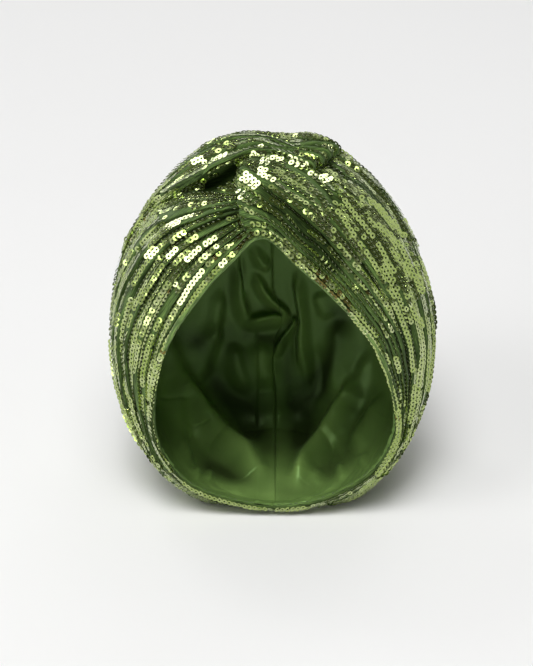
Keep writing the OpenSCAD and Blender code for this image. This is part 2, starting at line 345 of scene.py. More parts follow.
def sequin_mat(name):
    """Metallised film: each ring has its own tint, partly random and partly painted light and painted shade where rings
    lie in lit patches or in shade, a few brown, with fine scratches.
    """
    m, nt, b = new_mat(name)
    L = nt.links
    at = node(nt, "ShaderNodeAttribute", attribute_name="tint")
    col = ramp(nt, at.outputs["Fac"], [(0.0, (0.27, 0.38, 0.07)), (0.45, (0.40, 0.50, 0.16)), (0.90, (0.56, 0.64, 0.31)), (1.0, (0.16, 0.13, 0.022))])
    tc = node(nt, "ShaderNodeTexCoord")
    fine = node(nt, "ShaderNodeTexNoise", in_Scale=1500.0, in_Detail=2.0)
    L.new(tc.outputs["Object"], fine.inputs["Vector"])
    mix = node(nt, "ShaderNodeMix", data_type="RGBA", blend_type="MULTIPLY")
    mix.inputs[0].default_value = 0.45
    L.new(col, mix.inputs[6])
    L.new(ramp(nt, fine.outputs[0], [(0.2, (0.6, 0.6, 0.6)), (0.7, (1, 1, 1))]), mix.inputs[7])
    L.new(mix.outputs[2], b.inputs["Base Color"])
    L.new(maths(nt, "ADD", maths(nt, "MULTIPLY", fine.outputs[0], 0.07), 0.09), b.inputs["Roughness"])
    b.inputs["Metallic"].default_value = 0.92
    b.inputs["Coat Weight"].default_value = 0.3
    b.inputs["Coat Roughness"].default_value = 0.08
    return m


def thread_mat(name, c0, c1):
    m, nt, b = new_mat(name)
    L = nt.links
    tc = node(nt, "ShaderNodeTexCoord")
    w = node(nt, "ShaderNodeTexNoise", in_Scale=2500.0, in_Detail=1.0)
    L.new(tc.outputs["Object"], w.inputs["Vector"])
    L.new(ramp(nt, w.outputs[0], [(0.3, c0), (0.7, c1)]), b.inputs["Base Color"])
    L.new(maths(nt, "ADD", maths(nt, "MULTIPLY", w.outputs[0], 0.2), 0.35), b.inputs["Roughness"])
    b.inputs["Sheen Weight"].default_value = 0.3
    return m


M_CLOTH = knit("sequin_cloth_base", (0.020, 0.046, 0.010), (0.125, 0.215, 0.048), sheen=0.08, painted_shading=True)
M_EDGE = knit("turned_edge_cloth", (0.060, 0.115, 0.024), (0.175, 0.285, 0.075), rough=0.7, rib=0.9, sheen=0.15, painted_shading=True)
M_SATIN = satin("satin_lining")
M_SEQ = sequin_mat("sequin_film")
M_THREAD = thread_mat("sewing_thread", (0.05, 0.09, 0.025), (0.15, 0.21, 0.09))
M_ROW = thread_mat("row_thread", (0.15, 0.19, 0.10), (0.34, 0.39, 0.26))
M_ELASTIC = knit("elastic_band", (0.55, 0.55, 0.50), (0.8, 0.8, 0.76), rib=1.4, on_uv=False)
M_TAPE = knit("seam_cloth", (0.05, 0.10, 0.02), (0.14, 0.22, 0.06), on_uv=False)

# ------------------------------------------------------------------ drapes
# Guide rows of each drape, from the face edge (0) to the back edge (1): place
# across the drape, then (angle, share, lift in mm) along it, from the twist to the gather.
LEFT = [
    (0.00, [(2, 0, -.5), (14, 0, 0), (30, 0, 0), (60, 0, .5), (90, 0, .5), (120, 0, 0), (139, 0, 0)]),
    (0.12, [(8, .10, -1.5), (18.5, .068, 0), (28, .052, 1.5), (44, .043, 2), (58.5, .04, 2), (82, .035, 2), (103, .038, 1.5), (120, .038, 1), (139, .02, 0)]),
    (0.24, [(10, .15, -2), (23.5, .118, .5), (36.5, .112, 2), (50.5, .103, 2.5), (66.5, .10, 2.5), (87, .10, 2.5), (101, .10, 2), (116, .085, 1.5), (139, .035, 0)]),
    (0.35, [(11.5, .182, -2), (26.5, .182, 1.5), (39.5, .198, 3), (52.5, .203, 3), (66, .195, 3), (81.5, .185, 3), (97.5, .172, 2.5), (116, .13, 2), (139, .06, 0)]),
    (0.45, [(12.5, .208, -2), (27.5, .224, 2), (40, .272, 3.5), (51, .30, 3.5), (64, .305, 3), (78, .285, 3), (97, .25, 3), (116, .19, 2.5), (139, .085, 0)]),
    (0.53, [(13, .237, -3.5), (26, .265, -1), (32, .29, 3), (41.5, .335, 4), (50.5, .365, 4), (63, .385, 3), (78, .37, 3), (97, .325, 3), (116, .245, 3), (139, .105, 0)]),
    (0.60, [(12, .29, -8), (22.5, .348, -8), (28, .368, -6), (35, .385, -1), (45, .405, 3), (63, .425, 3), (80, .41, 3), (100, .355, 3), (118, .26, 3), (139, .12, 0)]),
    (0.66, [(-12.5, .33, 5), (-5.5, .338, 7), (4, .348, 9), (10.5, .346, 9.5), (15, .330, 9.5), (24, .330, 9), (33.5, .372, 7), (45, .42, 5), (63, .455, 4), (82, .445, 3.5), (102, .385, 3), (120, .275, 3), (139, .135, 0)]),
    (0.76, [(-15.5, .368, 8.5), (-10.5, .375, 7), (-5.5, .385, 4.5), (4, .395, 8), (11.5, .398, 8), (20, .41, 7), (29, .43, 6), (39.5, .455, 5), (55, .487, 4.5), (75, .49, 4), (95, .465, 3), (112, .375, 3), (139, .15, 0)]),
    (0.88, [(-20, .415, 11.5), (-14, .41, 9.5), (-8.5, .402, 2.5), (-1.5, .42, 5), (6, .432, 7), (15, .452, 6.5), (26.5, .495, 5), (40, .525, 4.5), (57, .54, 4), (77, .54, 3.5), (96, .50, 3), (114, .40, 2.5), (139, .175, 0)]),
    (1.00, [(-22, .46, 8), (-12, .50, 5.5), (-3.5, .53, 2), (8, .56, 2), (24, .585, 1.5), (39, .60, 1), (55, .60, 1), (75, .60, 1), (95, .565, 1), (115, .455, 1), (139, .21, 0)]),
]
RIGHT = [
    (0.00, [(-5.5, .02, .5), (3, 0, 0), (18, 0, 0), (37, 0, 0), (60, 0, .5), (90, 0, .5), (120, 0, 0), (139, 0, 0)]),
    (0.12, [(-9, .085, 4.5), (0, .03, 4), (15.5, .020, 2.5), (32.5, .018, 2), (59, .018, 2), (89, .02, 2), (108.5, .022, 1), (139, .012, 0)]),
    (0.26, [(-10.5, .15, 8), (-1.5, .075, 6.5), (14.5, .045, 4), (32.5, .040, 3), (58.5, .042, 2.5), (89, .04, 2), (105, .045, 1.5), (139, .022, 0)]),
    (0.40, [(-11, .23, 9.5), (-4, .17, 8), (13, .092, 5), (31, .075, 3.5), (55.5, .075, 3), (85, .068, 2.5), (101, .07, 2), (120, .06, 1.5), (139, .035, 0)]),
    (0.50, [(-9.5, .288, 9.5), (-4.5, .248, 8.5), (5.5, .202, 6.5), (19.5, .146, 4.5), (33, .112, 4), (54.5, .108, 3.5), (82.5, .095, 3), (102, .10, 2.5), (120, .085, 2), (139, .045, 0)]),
    (0.58, [(-7.5, .345, 7.5), (-1.5, .338, 7), (5.5, .328, 6), (11, .312, 5), (18, .275, 4), (30, .205, 3.5), (47, .16, 3), (64.5, .145, 3), (85, .135, 3), (105, .13, 2.5), (120, .105, 2), (139, .055, 0)]),
    (0.66, [(2, .36, -1.5), (13, .362, -1), (18.5, .345, 1), (27, .308, 3), (36.5, .28, 3.5), (49.5, .26, 3), (60.5, .235, 3), (80, .205, 3), (100, .185, 2.5), (120, .14, 2.5), (139, .07, 0)]),
    (0.76, [(3, .40, -2), (14, .405, -1), (20.5, .42, 1), (27, .415, 3), (34.5, .41, 3.5), (45, .40, 3.5), (56.5, .375, 3), (70, .34, 3), (90, .295, 3), (110, .22, 3), (139, .09, 0)]),
    (0.88, [(4, .46, -1), (14, .47, 0), (22, .50, 2), (31, .505, 3), (44, .50, 3), (57, .48, 3), (70, .45, 3), (88, .41, 3), (110, .31, 3), (139, .12, 0)]),
    (1.00, [(6, .52, .5), (14, .55, .5), (22, .575, .5), (31, .59, .8), (45, .60, 1), (67, .60, 1), (85, .595, 1), (110, .485, 1), (139, .21, 0)]),
]
# Where the pleats meet, across each drape, and which way each one leans.
CUTS_L = [0, .065, .145, .21, .285, .35, .425, .49, .56, .665, .735, .80, .865, .93, 1.0]
LEAN_L = [.05, .30, .38, .25, .40, .30, .42, .35, 0, .30, .25, .35, .25, .15]
CUTS_R = [0, .07, .15, .225, .30, .365, .44, .51, .585, .665, .73, .80, .87, .935, 1.0]
LEAN_R = [.05, .25, .36, .20, .38, .28, .36, .30, 0, .34, .28, .34, .22, .15]
GATHER = 139.0
NU, NV = ((460, 520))
NROLL = 26
THICK = 0.8


def drape_end(a):
    a = np.abs(a)
    return np.where(a >= GATHER, 0.22, 0.22 + 0.36 * np.power(np.clip(np.sin(np.radians(a * 180 / GATHER)), 0, 1), 0.8))


def drape(rows, side, cuts, lean, seed, roll_r, tall, flat, slack=1.22):
    """The grid of a pleated drape. side is +1 for right, -1 for left. The cloth keeps
    its width: where the guide rows close in, the pleats stand up."""
    u = np.linspace(0, 1, NU)
    vk = np.array([r[0] for r in rows])
    A, S, O = [], [], []
    for _, pts in rows:
        p = np.array(pts, float)
        a = p[0, 0] + (GATHER - p[0, 0]) * u
        A.append(a)
        S.append(np.interp(a, p[:, 0], p[:, 1]))
        O.append(np.interp(a, p[:, 0], p[:, 2]))
    k1 = int(50 * (NU / 320) ** 2)
    A, S, O = (smooth(np.array(x), 1, k1) for x in (A, S, O))
    v = np.linspace(0, 1, NV)
    k2 = int(16 * (NV / 300) ** 2)
    grid = lambda X: smooth(np.stack([np.interp(v, vk, X[:, i]) for i in range(NU)]), 1, k2)
    A, S, O = grid(A), grid(S), grid(O)
    S = 0.5 * (S + np.sqrt(S * S + 0.004 ** 2)) + 0.001 * v[None, :]
    U, V = np.meshgrid(u, v, indexing="ij")
    back = np.clip((V - 0.955) / 0.045, 0, 1)
    O = O * np.interp(np.abs(A), [0, 20, 36, 52, 180], [1, 1, .5, .12, .12]) - np.interp(np.abs(A), *flat)
    O = O - 1.6 * (1 - np.sqrt(1 - back ** 2 * 0.999)) + 0.4 * noise2(U * 3, V * 2, seed + 2, 3, 1.2)
    B = form(side * A, S, O)
    # the cloth turns under at the twist
    th = np.linspace(np.radians(172), 0, NROLL, endpoint=False)
    n0 = smooth(normals(B)[2] * side, 0, 30)
    n0 /= np.linalg.norm(n0, axis=-1, keepdims=True)
    t0 = smooth(B[4] - B[0], 0, 30)
    t0 -= np.sum(t0 * n0, -1, keepdims=True) * n0
    t0 /= np.linalg.norm(t0, axis=-1, keepdims=True)
    r = smooth(np.interp(v, roll_r[0], roll_r[1]), 0, 20)
    roll = [B[0] - n0 * (0.85 * r * (1 - np.cos(q)))[:, None] - t0 * (r * 1.15 * np.sin(q))[:, None] for q in th]
    B = np.concatenate([np.array(roll), B])
    ulen = np.concatenate([np.full(NROLL, 0.0), u])
    M = len(B)
    N = smooth(smooth(normals(B) * side, 0, 3), 1, 8)
    N /= np.linalg.norm(N, axis=-1, keepdims=True)
    T = smooth(np.gradient(B, axis=1), 1, 8)
    T /= np.linalg.norm(T, axis=-1, keepdims=True)
    cuts = np.array(cuts, float)
    K = len(cuts) - 1
    av = arc(B, 1)
    at = np.stack([np.interp(cuts, v, av[i]) for i in range(M)])
    W = smooth(np.diff(at, axis=1), 0, 30)                       # width of each pleat along its length
    ref = np.minimum(np.quantile(W[NROLL + NU // 8:-NU // 8], 0.75, axis=0), 12.5)
    cloth_w = slack * ref
    hmax = np.interp(ulen, tall[0], tall[1])[:, None]
    H = 0.5 * np.sqrt(np.maximum(cloth_w[None] ** 2 - np.minimum(W, 14) ** 2, 0.0))
    H = np.maximum(H, 0.34 * np.minimum(W, 11))
    H = np.where(W > 1.25 * ref[None] + 4, 0.0, H)
    r2 = np.random.default_rng(seed)
    H = H * (0.8 + 0.4 * r2.random(K))[None] * (1 + 0.18 * np.sin(3.5 * ulen[:, None] * np.pi + r2.uniform(0, 6.28, K)[None]))
    H = smooth(hmax * np.tanh(H / hmax), 0, 12)
    UL = np.repeat(ulen[:, None], NV, 1)
    VV = np.repeat(v[None], M, 0)
    edge_f = np.sin(np.pi * np.clip(VV, 0, 1)) ** 0.5
    vw = VV + 0.014 * noise2(UL * 1.3, VV * 2.2, seed + 5, 2, 1.0) * edge_f
    vw = np.clip(vw, 0, 1)
    k = np.clip(np.searchsorted(cuts, vw, side="right") - 1, 0, K - 1)
    t = np.clip((vw - cuts[k]) / (cuts[k + 1] - cuts[k]), 0, 1)
    I = np.repeat(np.arange(M)[:, None], NV, 1)
    h, w = H[I, k], W[I, k]
    mid = (cuts[:-1] + cuts[1:]) / 2
    hs = np.stack([np.interp(v, mid, H[i]) for i in range(M)])
    prof = np.sin(np.pi * t) ** 0.78
    ln = np.array(lean)[k] * np.interp(UL, [0, .06, .85, 1], [.5, 1, 1, .3])
    P = B + N * (h * prof - 0.52 * hs)[..., None] - T * (ln * np.minimum(w, 12) * np.sin(np.pi * t) ** 2 * np.clip(h / 1.5, 0, 1))[..., None]
    wr = 0.30 * noise2(UL * 15, VV * 8, seed + 3, 2, 1.0) * (0.5 + np.clip(1 - UL * 4, 0, 1) + np.clip((UL - .75) * 4, 0, 1))
    P = P + N * wr[..., None]
    P = smooth(P, 1, 1)
    P[..., 2] = np.maximum(P[..., 2], 0.6)
    # painted shade: the colour is darker in the bottoms of the pleats, more so for taller pleats
    painted_shade = 1 - (1 - prof) * np.clip(h / 2.2, 0, 1) * 0.95
    return P, v, smooth(painted_shade, 1, 1)


PL, VL, RL = drape(LEFT, -1, CUTS_L, LEAN_L, 3, ([0, .6, .645, .70, .80, .92, 1.0], [.8, .8, 2.0, 3.2, 3.8, 3.2, 1.2]),
                   ([0, .06, .14, .3, .75, .92, 1], [3.2, 3.6, 4.4, 4.8, 4.2, 3.0, 1.8]),
                   ([0, 22, 50, 80, 100, 118, 139], [0, 0, 1.0, 2.2, 3.0, 3.2, 1.2]))
PR, VR, RR = drape(RIGHT, 1, CUTS_R, LEAN_R, 8, ([0, .05, .14, .28, .42, .52, .585, .64, 1.0], [.8, 1.5, 3.6, 5.4, 6.0, 4.6, 2.4, .8, .8]),
                   ([0, .06, .14, .3, .5, .75, .92, 1], [1.0, 1.4, 2.3, 3.3, 3.9, 4.4, 3.2, 1.8]),
                   ([0, 22, 50, 80, 108, 122, 139], [0, 0, .9, 1.6, 1.6, .6, -1.4]))


def line_dist(X, Y, pts):
    """Distance from (X, Y) to a polyline, and how far along it (0 to 1)."""
    best = np.full(X.shape, 1e9)
    pos = np.zeros(X.shape)
    n = len(pts) - 1
    for i in range(n):
        ax, ay = pts[i]
        bx, by = pts[i + 1]
        dx, dy = bx - ax, by - ay
        q = np.clip(((X - ax) * dx + (Y - ay) * dy) / (dx * dx + dy * dy), 0, 1)
        d = np.hypot(X - ax - q * dx, Y - ay - q * dy)
        m = d < best
        best = np.where(m, d, best)
        pos = np.where(m, (i + q) / n, pos)
    return best, pos


def front_view(P):
    """Where a point falls on a front-view sheet, 0.575 mm to the unit, seen from 30 degrees up."""
    d = P - np.array([0, (MID_Y - 30.0) - 1300 * math.cos(math.radians(30)), 110 + 1300 * math.sin(math.radians(30))])
    z = d[..., 1] * math.cos(math.radians(30)) - d[..., 2] * math.sin(math.radians(30))
    k = 1300 / 0.575
    return 271.5 + k * d[..., 0] / z, 329 - k * (d[..., 1] * math.sin(math.radians(30)) + d[..., 2] * math.cos(math.radians(30))) / z


BAND = [(160, 215), (180, 211), (205, 210), (230, 211)]


def hollow(P, painted_shade):
    """Painted shade: darkens the bare hollow beside the twist, and paints the folded band beside it at full brightness.
    """
    X, Y = front_view(P)
    q, _ = line_dist(X, Y, [(204, 188), (220, 182), (235, 171), (236, 184)])
    painted_shade = painted_shade * np.clip(np.interp(q, [0, 5, 11], [0.0, 0.06, 1.0]), 0, 1)
    return np.maximum(painted_shade, np.exp(-(line_dist(X, Y, BAND)[0] / 3.2) ** 4))


SHADE = [([(268, 200), (290, 216), (312, 238), (330, 262)], 16.0, 0.72), ([(345, 206), (372, 236), (392, 272)], 16.0, 0.55),
         ([(165, 246), (185, 235), (210, 224), (234, 213)], 4.5, 0.6), ([(138, 286), (150, 268), (165, 255)], 4.5, 0.5),
         ([(150, 300), (165, 280), (180, 262), (196, 246)], 3.5, 0.5)]


def shaded(P, painted_shade):
    """Painted shade: the front of the wrap lies in its own fold, and its colour is painted darker along the SHADE
    lines.
    """
    X, Y = front_view(P)
    for pts, w, much in SHADE:
        painted_shade = painted_shade * (1 - much * np.exp(-(line_dist(X, Y, pts)[0] / w) ** 4))
    return painted_shade


def relief(P, side, span=26, scale=1.0):
    """Painted shade for folds: 0 in the bottoms of folds, 1 on their tops."""
    N = normals(P) * side
    low = smooth(smooth(P, 0, span * 6), 1, span * 6)
    return np.clip(0.72 + np.sum((P - low) * N, -1) / scale, 0.1, 1)


def uv_of(P):
    return np.stack([arc(P, 0), arc(P, 1)], -1)


left = shell("left_drape_cloth", PL, THICK, uv_of(PL), M_CLOTH, {"painted_shading": shaded(PL, hollow(PL, RL))}, flip=True)
right = shell("right_drape_cloth", PR, THICK, uv_of(PR), M_CLOTH, {"painted_shading": shaded(PR, RR)})
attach(left, "root"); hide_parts("left_drape", "left_twist_loop")
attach(right, "root"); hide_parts("right_drape", "right_twist_loop")


# ------------------------------------------------------------------ back panels and nape band
def wrap(U, V):
    r = np.maximum(U, np.abs(V))
    with np.errstate(divide="ignore", invalid="ignore"):
        a = np.where(U >= np.abs(V), 90 - 45 * V / np.maximum(U, 1e-9), np.where(V > 0, 45 * U / np.maximum(V, 1e-9), 180 - 45 * U / np.maximum(-V, 1e-9)))
    return np.where(r < 1e-9, 90.0, a), r


def half(n, side, off, start, folds=None, gap=0.0):
    U, V = np.meshgrid(np.linspace(0, 1, n), np.linspace(1, -1, 2 * n - 1), indexing="ij")
    a, r = wrap(U, V)
    s = 1 - r * (1 - start(a))
    base = off(s, a) if callable(off) else off + 0 * s
    O = base + (folds(U, V, a, s, form(side * a, s, base)) if folds else 0)
    P = form(side * a, s, O)
    P[..., 0] += side * gap
    return P, U, V


def back_folds(seed):
    def f(U, V, a, s, P0):
        ph = 7.5 * U + 0.45 * noise2(U, V * 0.7, seed, 2, 1.0)
        t = ph - np.floor(ph)
        r = np.maximum(U, np.abs(V))
        edge_fade = np.clip((1 - r) / 0.08, 0, 1)
        return -0.3 + (1.5 * (np.sin(np.pi * t) ** 0.75 - 0.6) + 0.6 * noise2(U * 2, V * 2, seed + 4, 3)) * edge_fade - 1.0 * np.exp(-(U / 0.018) ** 2)
    return f


NB = 190
backs = {}
for side, tag in ((-1, "left"), (1, "right")):
    P, U, V = half(NB, side, 0.0, lambda a: drape_end(a) - 0.012, back_folds(20 + side), 0.0)
    P[..., 2] = np.maximum(P[..., 2], 0.0)
    backs[side] = (P, U, V)
    o = shell(f"back_panel_{tag}_cloth", P, THICK, uv_of(P), M_CLOTH, {"painted_shading": relief(P, side, 4, 1.6)}, flip=side < 0)
    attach(o, "root"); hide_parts(f"back_panel_{tag}")

an = np.linspace(GATHER - 5, 360 - GATHER + 5, 240)
sn = np.linspace(0.004, 0.235, 70)
AN, SN = np.meshgrid(an, sn, indexing="ij")
ON = 0.5 + 0.5 * noise2(AN / 40, SN * 6, 31, 3) + 0.7 * (np.sin(SN / 0.235 * np.pi * 5 - .4) * np.clip(SN / .03, 0, 1))
ON = ON + (3.4 * np.exp(-((AN - 151) / 12) ** 2) + 1.2 * np.exp(-((AN - 204) / 9) ** 2)) * np.clip(SN / .06, 0, 1)
PN = form(AN, SN, ON)
# painted shade: the nape band's colour is darker in the bottoms of its folds, in step with their waves
nape = shell("nape_band_cloth", PN, THICK, uv_of(PN), M_CLOTH, {"painted_shading": 0.75 + 0.25 * np.sin(SN / 0.235 * np.pi * 5 - .4)})
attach(nape, "root"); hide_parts("nape_band")


# ------------------------------------------------------------------ lining
# Folds of the satin on the front-view sheet: course, half-width, height towards the head in mm. The height also paints
# light on the fold tops and shade in the grooves.
FOLDS = [
    ([(299, 262), (300, 300), (303, 345), (312, 400)], 5.0, 2.6),
    ([(293, 268), (293, 300), (294, 345), (296, 372)], 2.5, -1.0),
    ([(237, 255), (237, 300), (243, 330)], 4.0, 2.2),
    ([(242, 252), (242, 300)], 2.0, -1.0),
    ([(254, 268), (257, 282), (265, 301), (277, 314), (284, 319)], 3.2, 3.2),
    ([(240, 327), (250, 322), (262, 319.5), (283, 320)], 3.4, 4.0),
    ([(250, 332), (275, 331)], 5.0, -0.8),
    ([(287.5, 314), (289, 326), (279, 345), (272, 362)], 2.6, 3.0),
    ([(250, 244), (262, 262), (270, 262)], 4.0, 2.4),
    ([(258, 340), (260, 368), (268, 392)], 8.0, 2.2),
    ([(358, 372), (353, 398), (327, 441), (306, 463), (296, 480), (291, 500)], 7.5, 5.8),
    ([(340, 440), (324, 458), (308, 474)], 8.0, -2.2),
    ([(388, 390), (378, 415), (364, 438), (350, 452)], 6.5, 3.4),
    ([(372, 380), (360, 410), (348, 436)], 4.5, -0.6),
    ([(172, 352), (184, 388), (199, 415), (219, 438), (240, 454), (255, 472), (260, 494)], 8.5, 5.4),
    ([(176, 410), (188, 436), (206, 458), (232, 474), (254, 484)], 8.0, -2.0),
    ([(172, 372), (176, 410), (184, 445), (192, 470)], 5.5, 2.2),
    ([(156, 396), (172, 400), (188, 404)], 1.6, -0.5),
    ([(184, 424), (196, 427), (206, 428)], 1.8, -0.5),
    ([(196.5, 466), (195, 484)], 3.0, 1.3),
    ([(213, 466), (206, 484)], 3.0, 1.3),
    ([(320, 466), (318, 488)], 3.5, 1.2),
    ([(340, 462), (344, 482)], 3.5, 1.3),
    ([(362, 452), (368, 472)], 3.5, 1.2),
    ([(345, 315), (342, 360), (336, 405)], 10.0, 2.6),
    ([(215, 320), (205, 355), (205, 385)], 9.0, 1.8),
    ([(196, 345), (222, 390), (246, 424), (262, 446)], 10.0, -2.4),
    ([(292, 380), (300, 420), (296, 455)], 11.0, -2.2),
    ([(318, 290), (332, 320)], 6.0, 1.4),
    ([(220, 285), (214, 320), (210, 350)], 5.0, 1.6),
    ([(312, 340), (318, 375), (314, 405)], 7.0, -1.6),
    ([(168, 330), (174, 372), (186, 410)], 6.0, 1.6),
    ([(372, 345), (364, 385), (358, 412)], 6.0, 1.5),
    ([(232, 340), (236, 370), (246, 398)], 6.0, 1.8),
]
# Painted shade and painted light between the folds: course, half-width, and how much darker (negative) or lighter
# (positive) the satin colour is painted.
LINING_SHADE_AND_LIGHT = [
    ([(300, 385), (303, 425), (298, 452)], 16.0, -0.36),
    ([(246, 390), (254, 425), (263, 448)], 13.0, -0.34),
    ([(197, 342), (222, 386), (248, 428)], 8.0, -0.22),
    ([(178, 332), (202, 342), (228, 332), (236, 358)], 13.0, -0.34),
    ([(236, 270), (226, 300)], 8.0, -0.20),
    ([(247, 334), (262, 338), (278, 342)], 7.0, -0.34),
    ([(340, 312), (342, 340), (332, 365), (318, 384)], 11.0, -0.60),
    ([(286, 352), (286, 400)], 6.0, -0.26),
    ([(362, 350), (362, 400), (366, 440)], 9.0, -0.16),
    ([(352, 438), (348, 458), (333, 468)], 9.0, -0.26),
    ([(210, 466), (226, 470), (242, 482), (258, 488)], 8.5, -0.30),
    ([(296, 482), (316, 484)], 7.0, -0.12),
    ([(322, 472), (334, 478)], 7.0, -0.14),
    ([(163, 385), (180, 410), (194, 432)], 17.0, 0.50),
    ([(210, 412), (224, 434), (238, 450)], 9.0, 0.30),
    ([(343, 400), (333, 424), (322, 444)], 9.0, 0.26),
    ([(258, 278), (262, 300), (268, 318)], 8.0, 0.16),
    ([(300, 318), (302, 366)], 7.0, 0.10),
    ([(258, 362), (262, 372)], 9.0, 0.18),
    ([(272, 462), (274, 498)], 9.0, 0.16),
]
lining_painted_shading = {}
SEAM = [(273, 245), (274, 288), (282, 310), (284.5, 322), (276, 338), (274, 360), (277, 400), (276.8, 450), (276.4, 512)]


def lining_folds(side):
    def f(U, V, a, s, P0):
        X, Y = front_view(P0)
        d = np.zeros(X.shape)
        inner = np.clip((P0[..., 1] - (MID_Y - 45)) / 20, 0, 1) * np.clip((s - 0.035) / 0.05, 0, 1)
        # painted light and shade for the satin colour: lighter on fold tops, darker in grooves and hollows
        painted_tone = np.full(X.shape, 0.54)
        for pts, w, h in FOLDS:
            q, along = line_dist(X, Y, pts)
            w2 = w * (1.0 + 0.5 * np.sin(np.pi * along))
            e = np.clip(np.minimum(along, 1 - along) / 0.3, 0, 1)
            e = np.exp(-(q / w2) ** 2) * inner * (e * e * (3 - 2 * e))
            d = d + 1.7 * h * e
            painted_tone = painted_tone + (0.075 if h > 0 else 0.13) * h * e
        for pts, w, h in LINING_SHADE_AND_LIGHT:
            painted_tone = painted_tone + h * np.exp(-(line_dist(X, Y, pts)[0] / w) ** 2) * inner
        # long soft folds down the side walls
        wall = np.maximum(1 - np.clip((P0[..., 1] - (MID_Y - 45)) / 20, 0, 1), np.clip((np.abs(normals(P0)[..., 0]) - 0.66) / 0.2, 0, 1))
        wall = wall * np.clip((s - 0.05) / 0.12, 0, 1) * np.clip((0.95 - s) / 0.2, 0, 1)
        wave = (0.5 + 0.5 * np.sin(a / 6.2 + 3.0 * noise2(U * 1.1, V * 1.1, 81 + side, 2) + 3 * s)) ** 2
        d = d + 2.4 * wall * wave
        # painted light and shade along these wall folds
        painted_tone = painted_tone + 0.34 * wall * (wave - 0.40)
        lining_painted_shading[side] = np.clip(painted_tone, 0.02, 1)
        d = np.where(d < 0, -1.9 * np.tanh(-d / 1.9), d)
        if side < 0:
            # the twist presses on the satin from outside
            d = d + 6.5 * np.exp(-((a - 20) / 11) ** 2 - ((s - .34) / .085) ** 2)
        # soft unevenness, the pucker of the hem stitches, the centre seam and its pressed allowance
        d = d + (0.9 * noise2(U * 1.5, V * 1.5, 50 + side, 3) + 0.35 * noise2(U * 6, V * 6, 57 + side, 2)) * np.clip((s - .02) / .06, 0, 1)
        hem = np.exp(-((s - 0.034) / 0.028) ** 2)
        d = d + hem * (0.45 * np.sin(a * 1.05 + 2.2 * noise2(a / 12, a * 0, 63, 2)) * (0.4 + 0.6 * np.clip((a - 60) / 60, 0, 1)) + 0.2)
        d = d - 0.9 * np.exp(-((s - 0.030) / 0.007) ** 2)
        q = np.abs(P0[..., 0]) + 0.25 * noise2(s * 9, U * 0, 71, 2)
        d = d - 0.55 * np.exp(-(q / 0.8) ** 2)
        if side < 0:
            d = d + 0.75 * np.clip((10.5 - np.abs(P0[..., 0]) + 0.4 * noise2(s * 5, U * 0, 72, 2)) / 0.9, 0, 1) * np.clip((P0[..., 2] - 4) / 4, 0, 1) * np.clip((70 - P0[..., 2]) / 25, 0, 1) * np.clip((a - 120) / 25, 0, 1)
        return -d
    return f


def keep_clear(L, U, V, side, tree, gap=0.9):
    """Moves the lining inwards where the inner face of the shell comes too close."""
    out = normals(L) * side
    push = np.zeros(L.shape[:2])
    for i in range(L.shape[0]):
        for j in range(L.shape[1]):
            c, _, dist = tree.find(L[i, j])
            if dist < 7:
                e = np.array(c) - L[i, j]
                g = float(e @ out[i, j])
                if math.sqrt(max(dist * dist - g * g, 0.0)) < 2.5 and g < gap:
                    push[i, j] = gap - g
    wide = push.copy()
    for _ in range(2):
        q = np.pad(wide, 1, mode="edge")
        wide = np.max([q[a:a + wide.shape[0], b:b + wide.shape[1]] for a in range(3) for b in range(3)], axis=0)
    wide = np.maximum(push, smooth(smooth(wide, 0, 3), 1, 3))
    wide = np.minimum(wide, np.interp(np.maximum(U, np.abs(V)), [0, 0.93, 0.985, 1], [9, 9, 0.5, 0.2]))
    return L - out * wide[..., None]


inner_pts = np.concatenate([(q - THICK * n)[::2, ::2].reshape(-1, 3) for q, n in
                            ((PL[NROLL:], normals(PL[NROLL:]) * -1), (PR[NROLL:], normals(PR[NROLL:])),
                             (backs[-1][0], normals(backs[-1][0]) * -1), (backs[1][0], normals(backs[1][0])))])
shell_tree = KDTree(len(inner_pts))
for i, c in enumerate(inner_pts):
    shell_tree.insert(c, i)
shell_tree.balance()

NLN = 230
lin = {}
LSEW = lambda s, a: -1.5 - 3.7 * np.clip(s / 0.09, 0, 1) ** 0.8
for side, tag in ((-1, "left"), (1, "right")):
    P, U, V = half(NLN, side, LSEW, lambda a: 0.008 + 0 * a, lining_folds(side), -0.015)
    # the centre seam wanders; both halves share the same shift along it
    X, Y = front_view(P)
    wander = 0.575 * np.interp(Y, [q[1] for q in SEAM], [q[0] - 272.3 for q in SEAM])
    keep = np.clip((1 - np.maximum(U, np.abs(V))) / 0.08, 0, 1)
    P[..., 0] += wander * np.exp(-(P[..., 0] / 15) ** 2) * keep * keep * (3 - 2 * keep)
    lin[side] = keep_clear(P, U, V, side, shell_tree)
# both halves meet on one line at the centre seam
shared = 0.5 * (lin[-1][0] + lin[1][0])
for side, tag in ((-1, "left"), (1, "right")):
    P = lin[side]
    w = np.clip(1 - U / 0.16, 0, 1)
    P[..., 1:] += (shared - P[0])[None, :, 1:] * (w * w * (3 - 2 * w))[..., None]
    o = shell(f"lining_{tag}_satin", P[::-1] if side > 0 else P, -0.35, uv_of(P)[::-1] if side > 0 else uv_of(P), M_SATIN,
              {"painted_shading": lining_painted_shading[side][::-1] if side > 0 else lining_painted_shading[side]})
    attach(o, "root"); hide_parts(f"lining_{tag}")


# ------------------------------------------------------------------ turned edge
def tube(path, frames, ry, rz, nseg=12):
    """A tube of elliptical section: path (n,3), frames (n,2,3), radii per point."""
    th = np.linspace(0, 2 * np.pi, nseg, endpoint=False)
    return path[:, None] + np.cos(th)[None, :, None] * frames[:, 0][:, None] * ry[:, None, None] + np.sin(th)[None, :, None] * frames[:, 1][:, None] * rz[:, None, None]


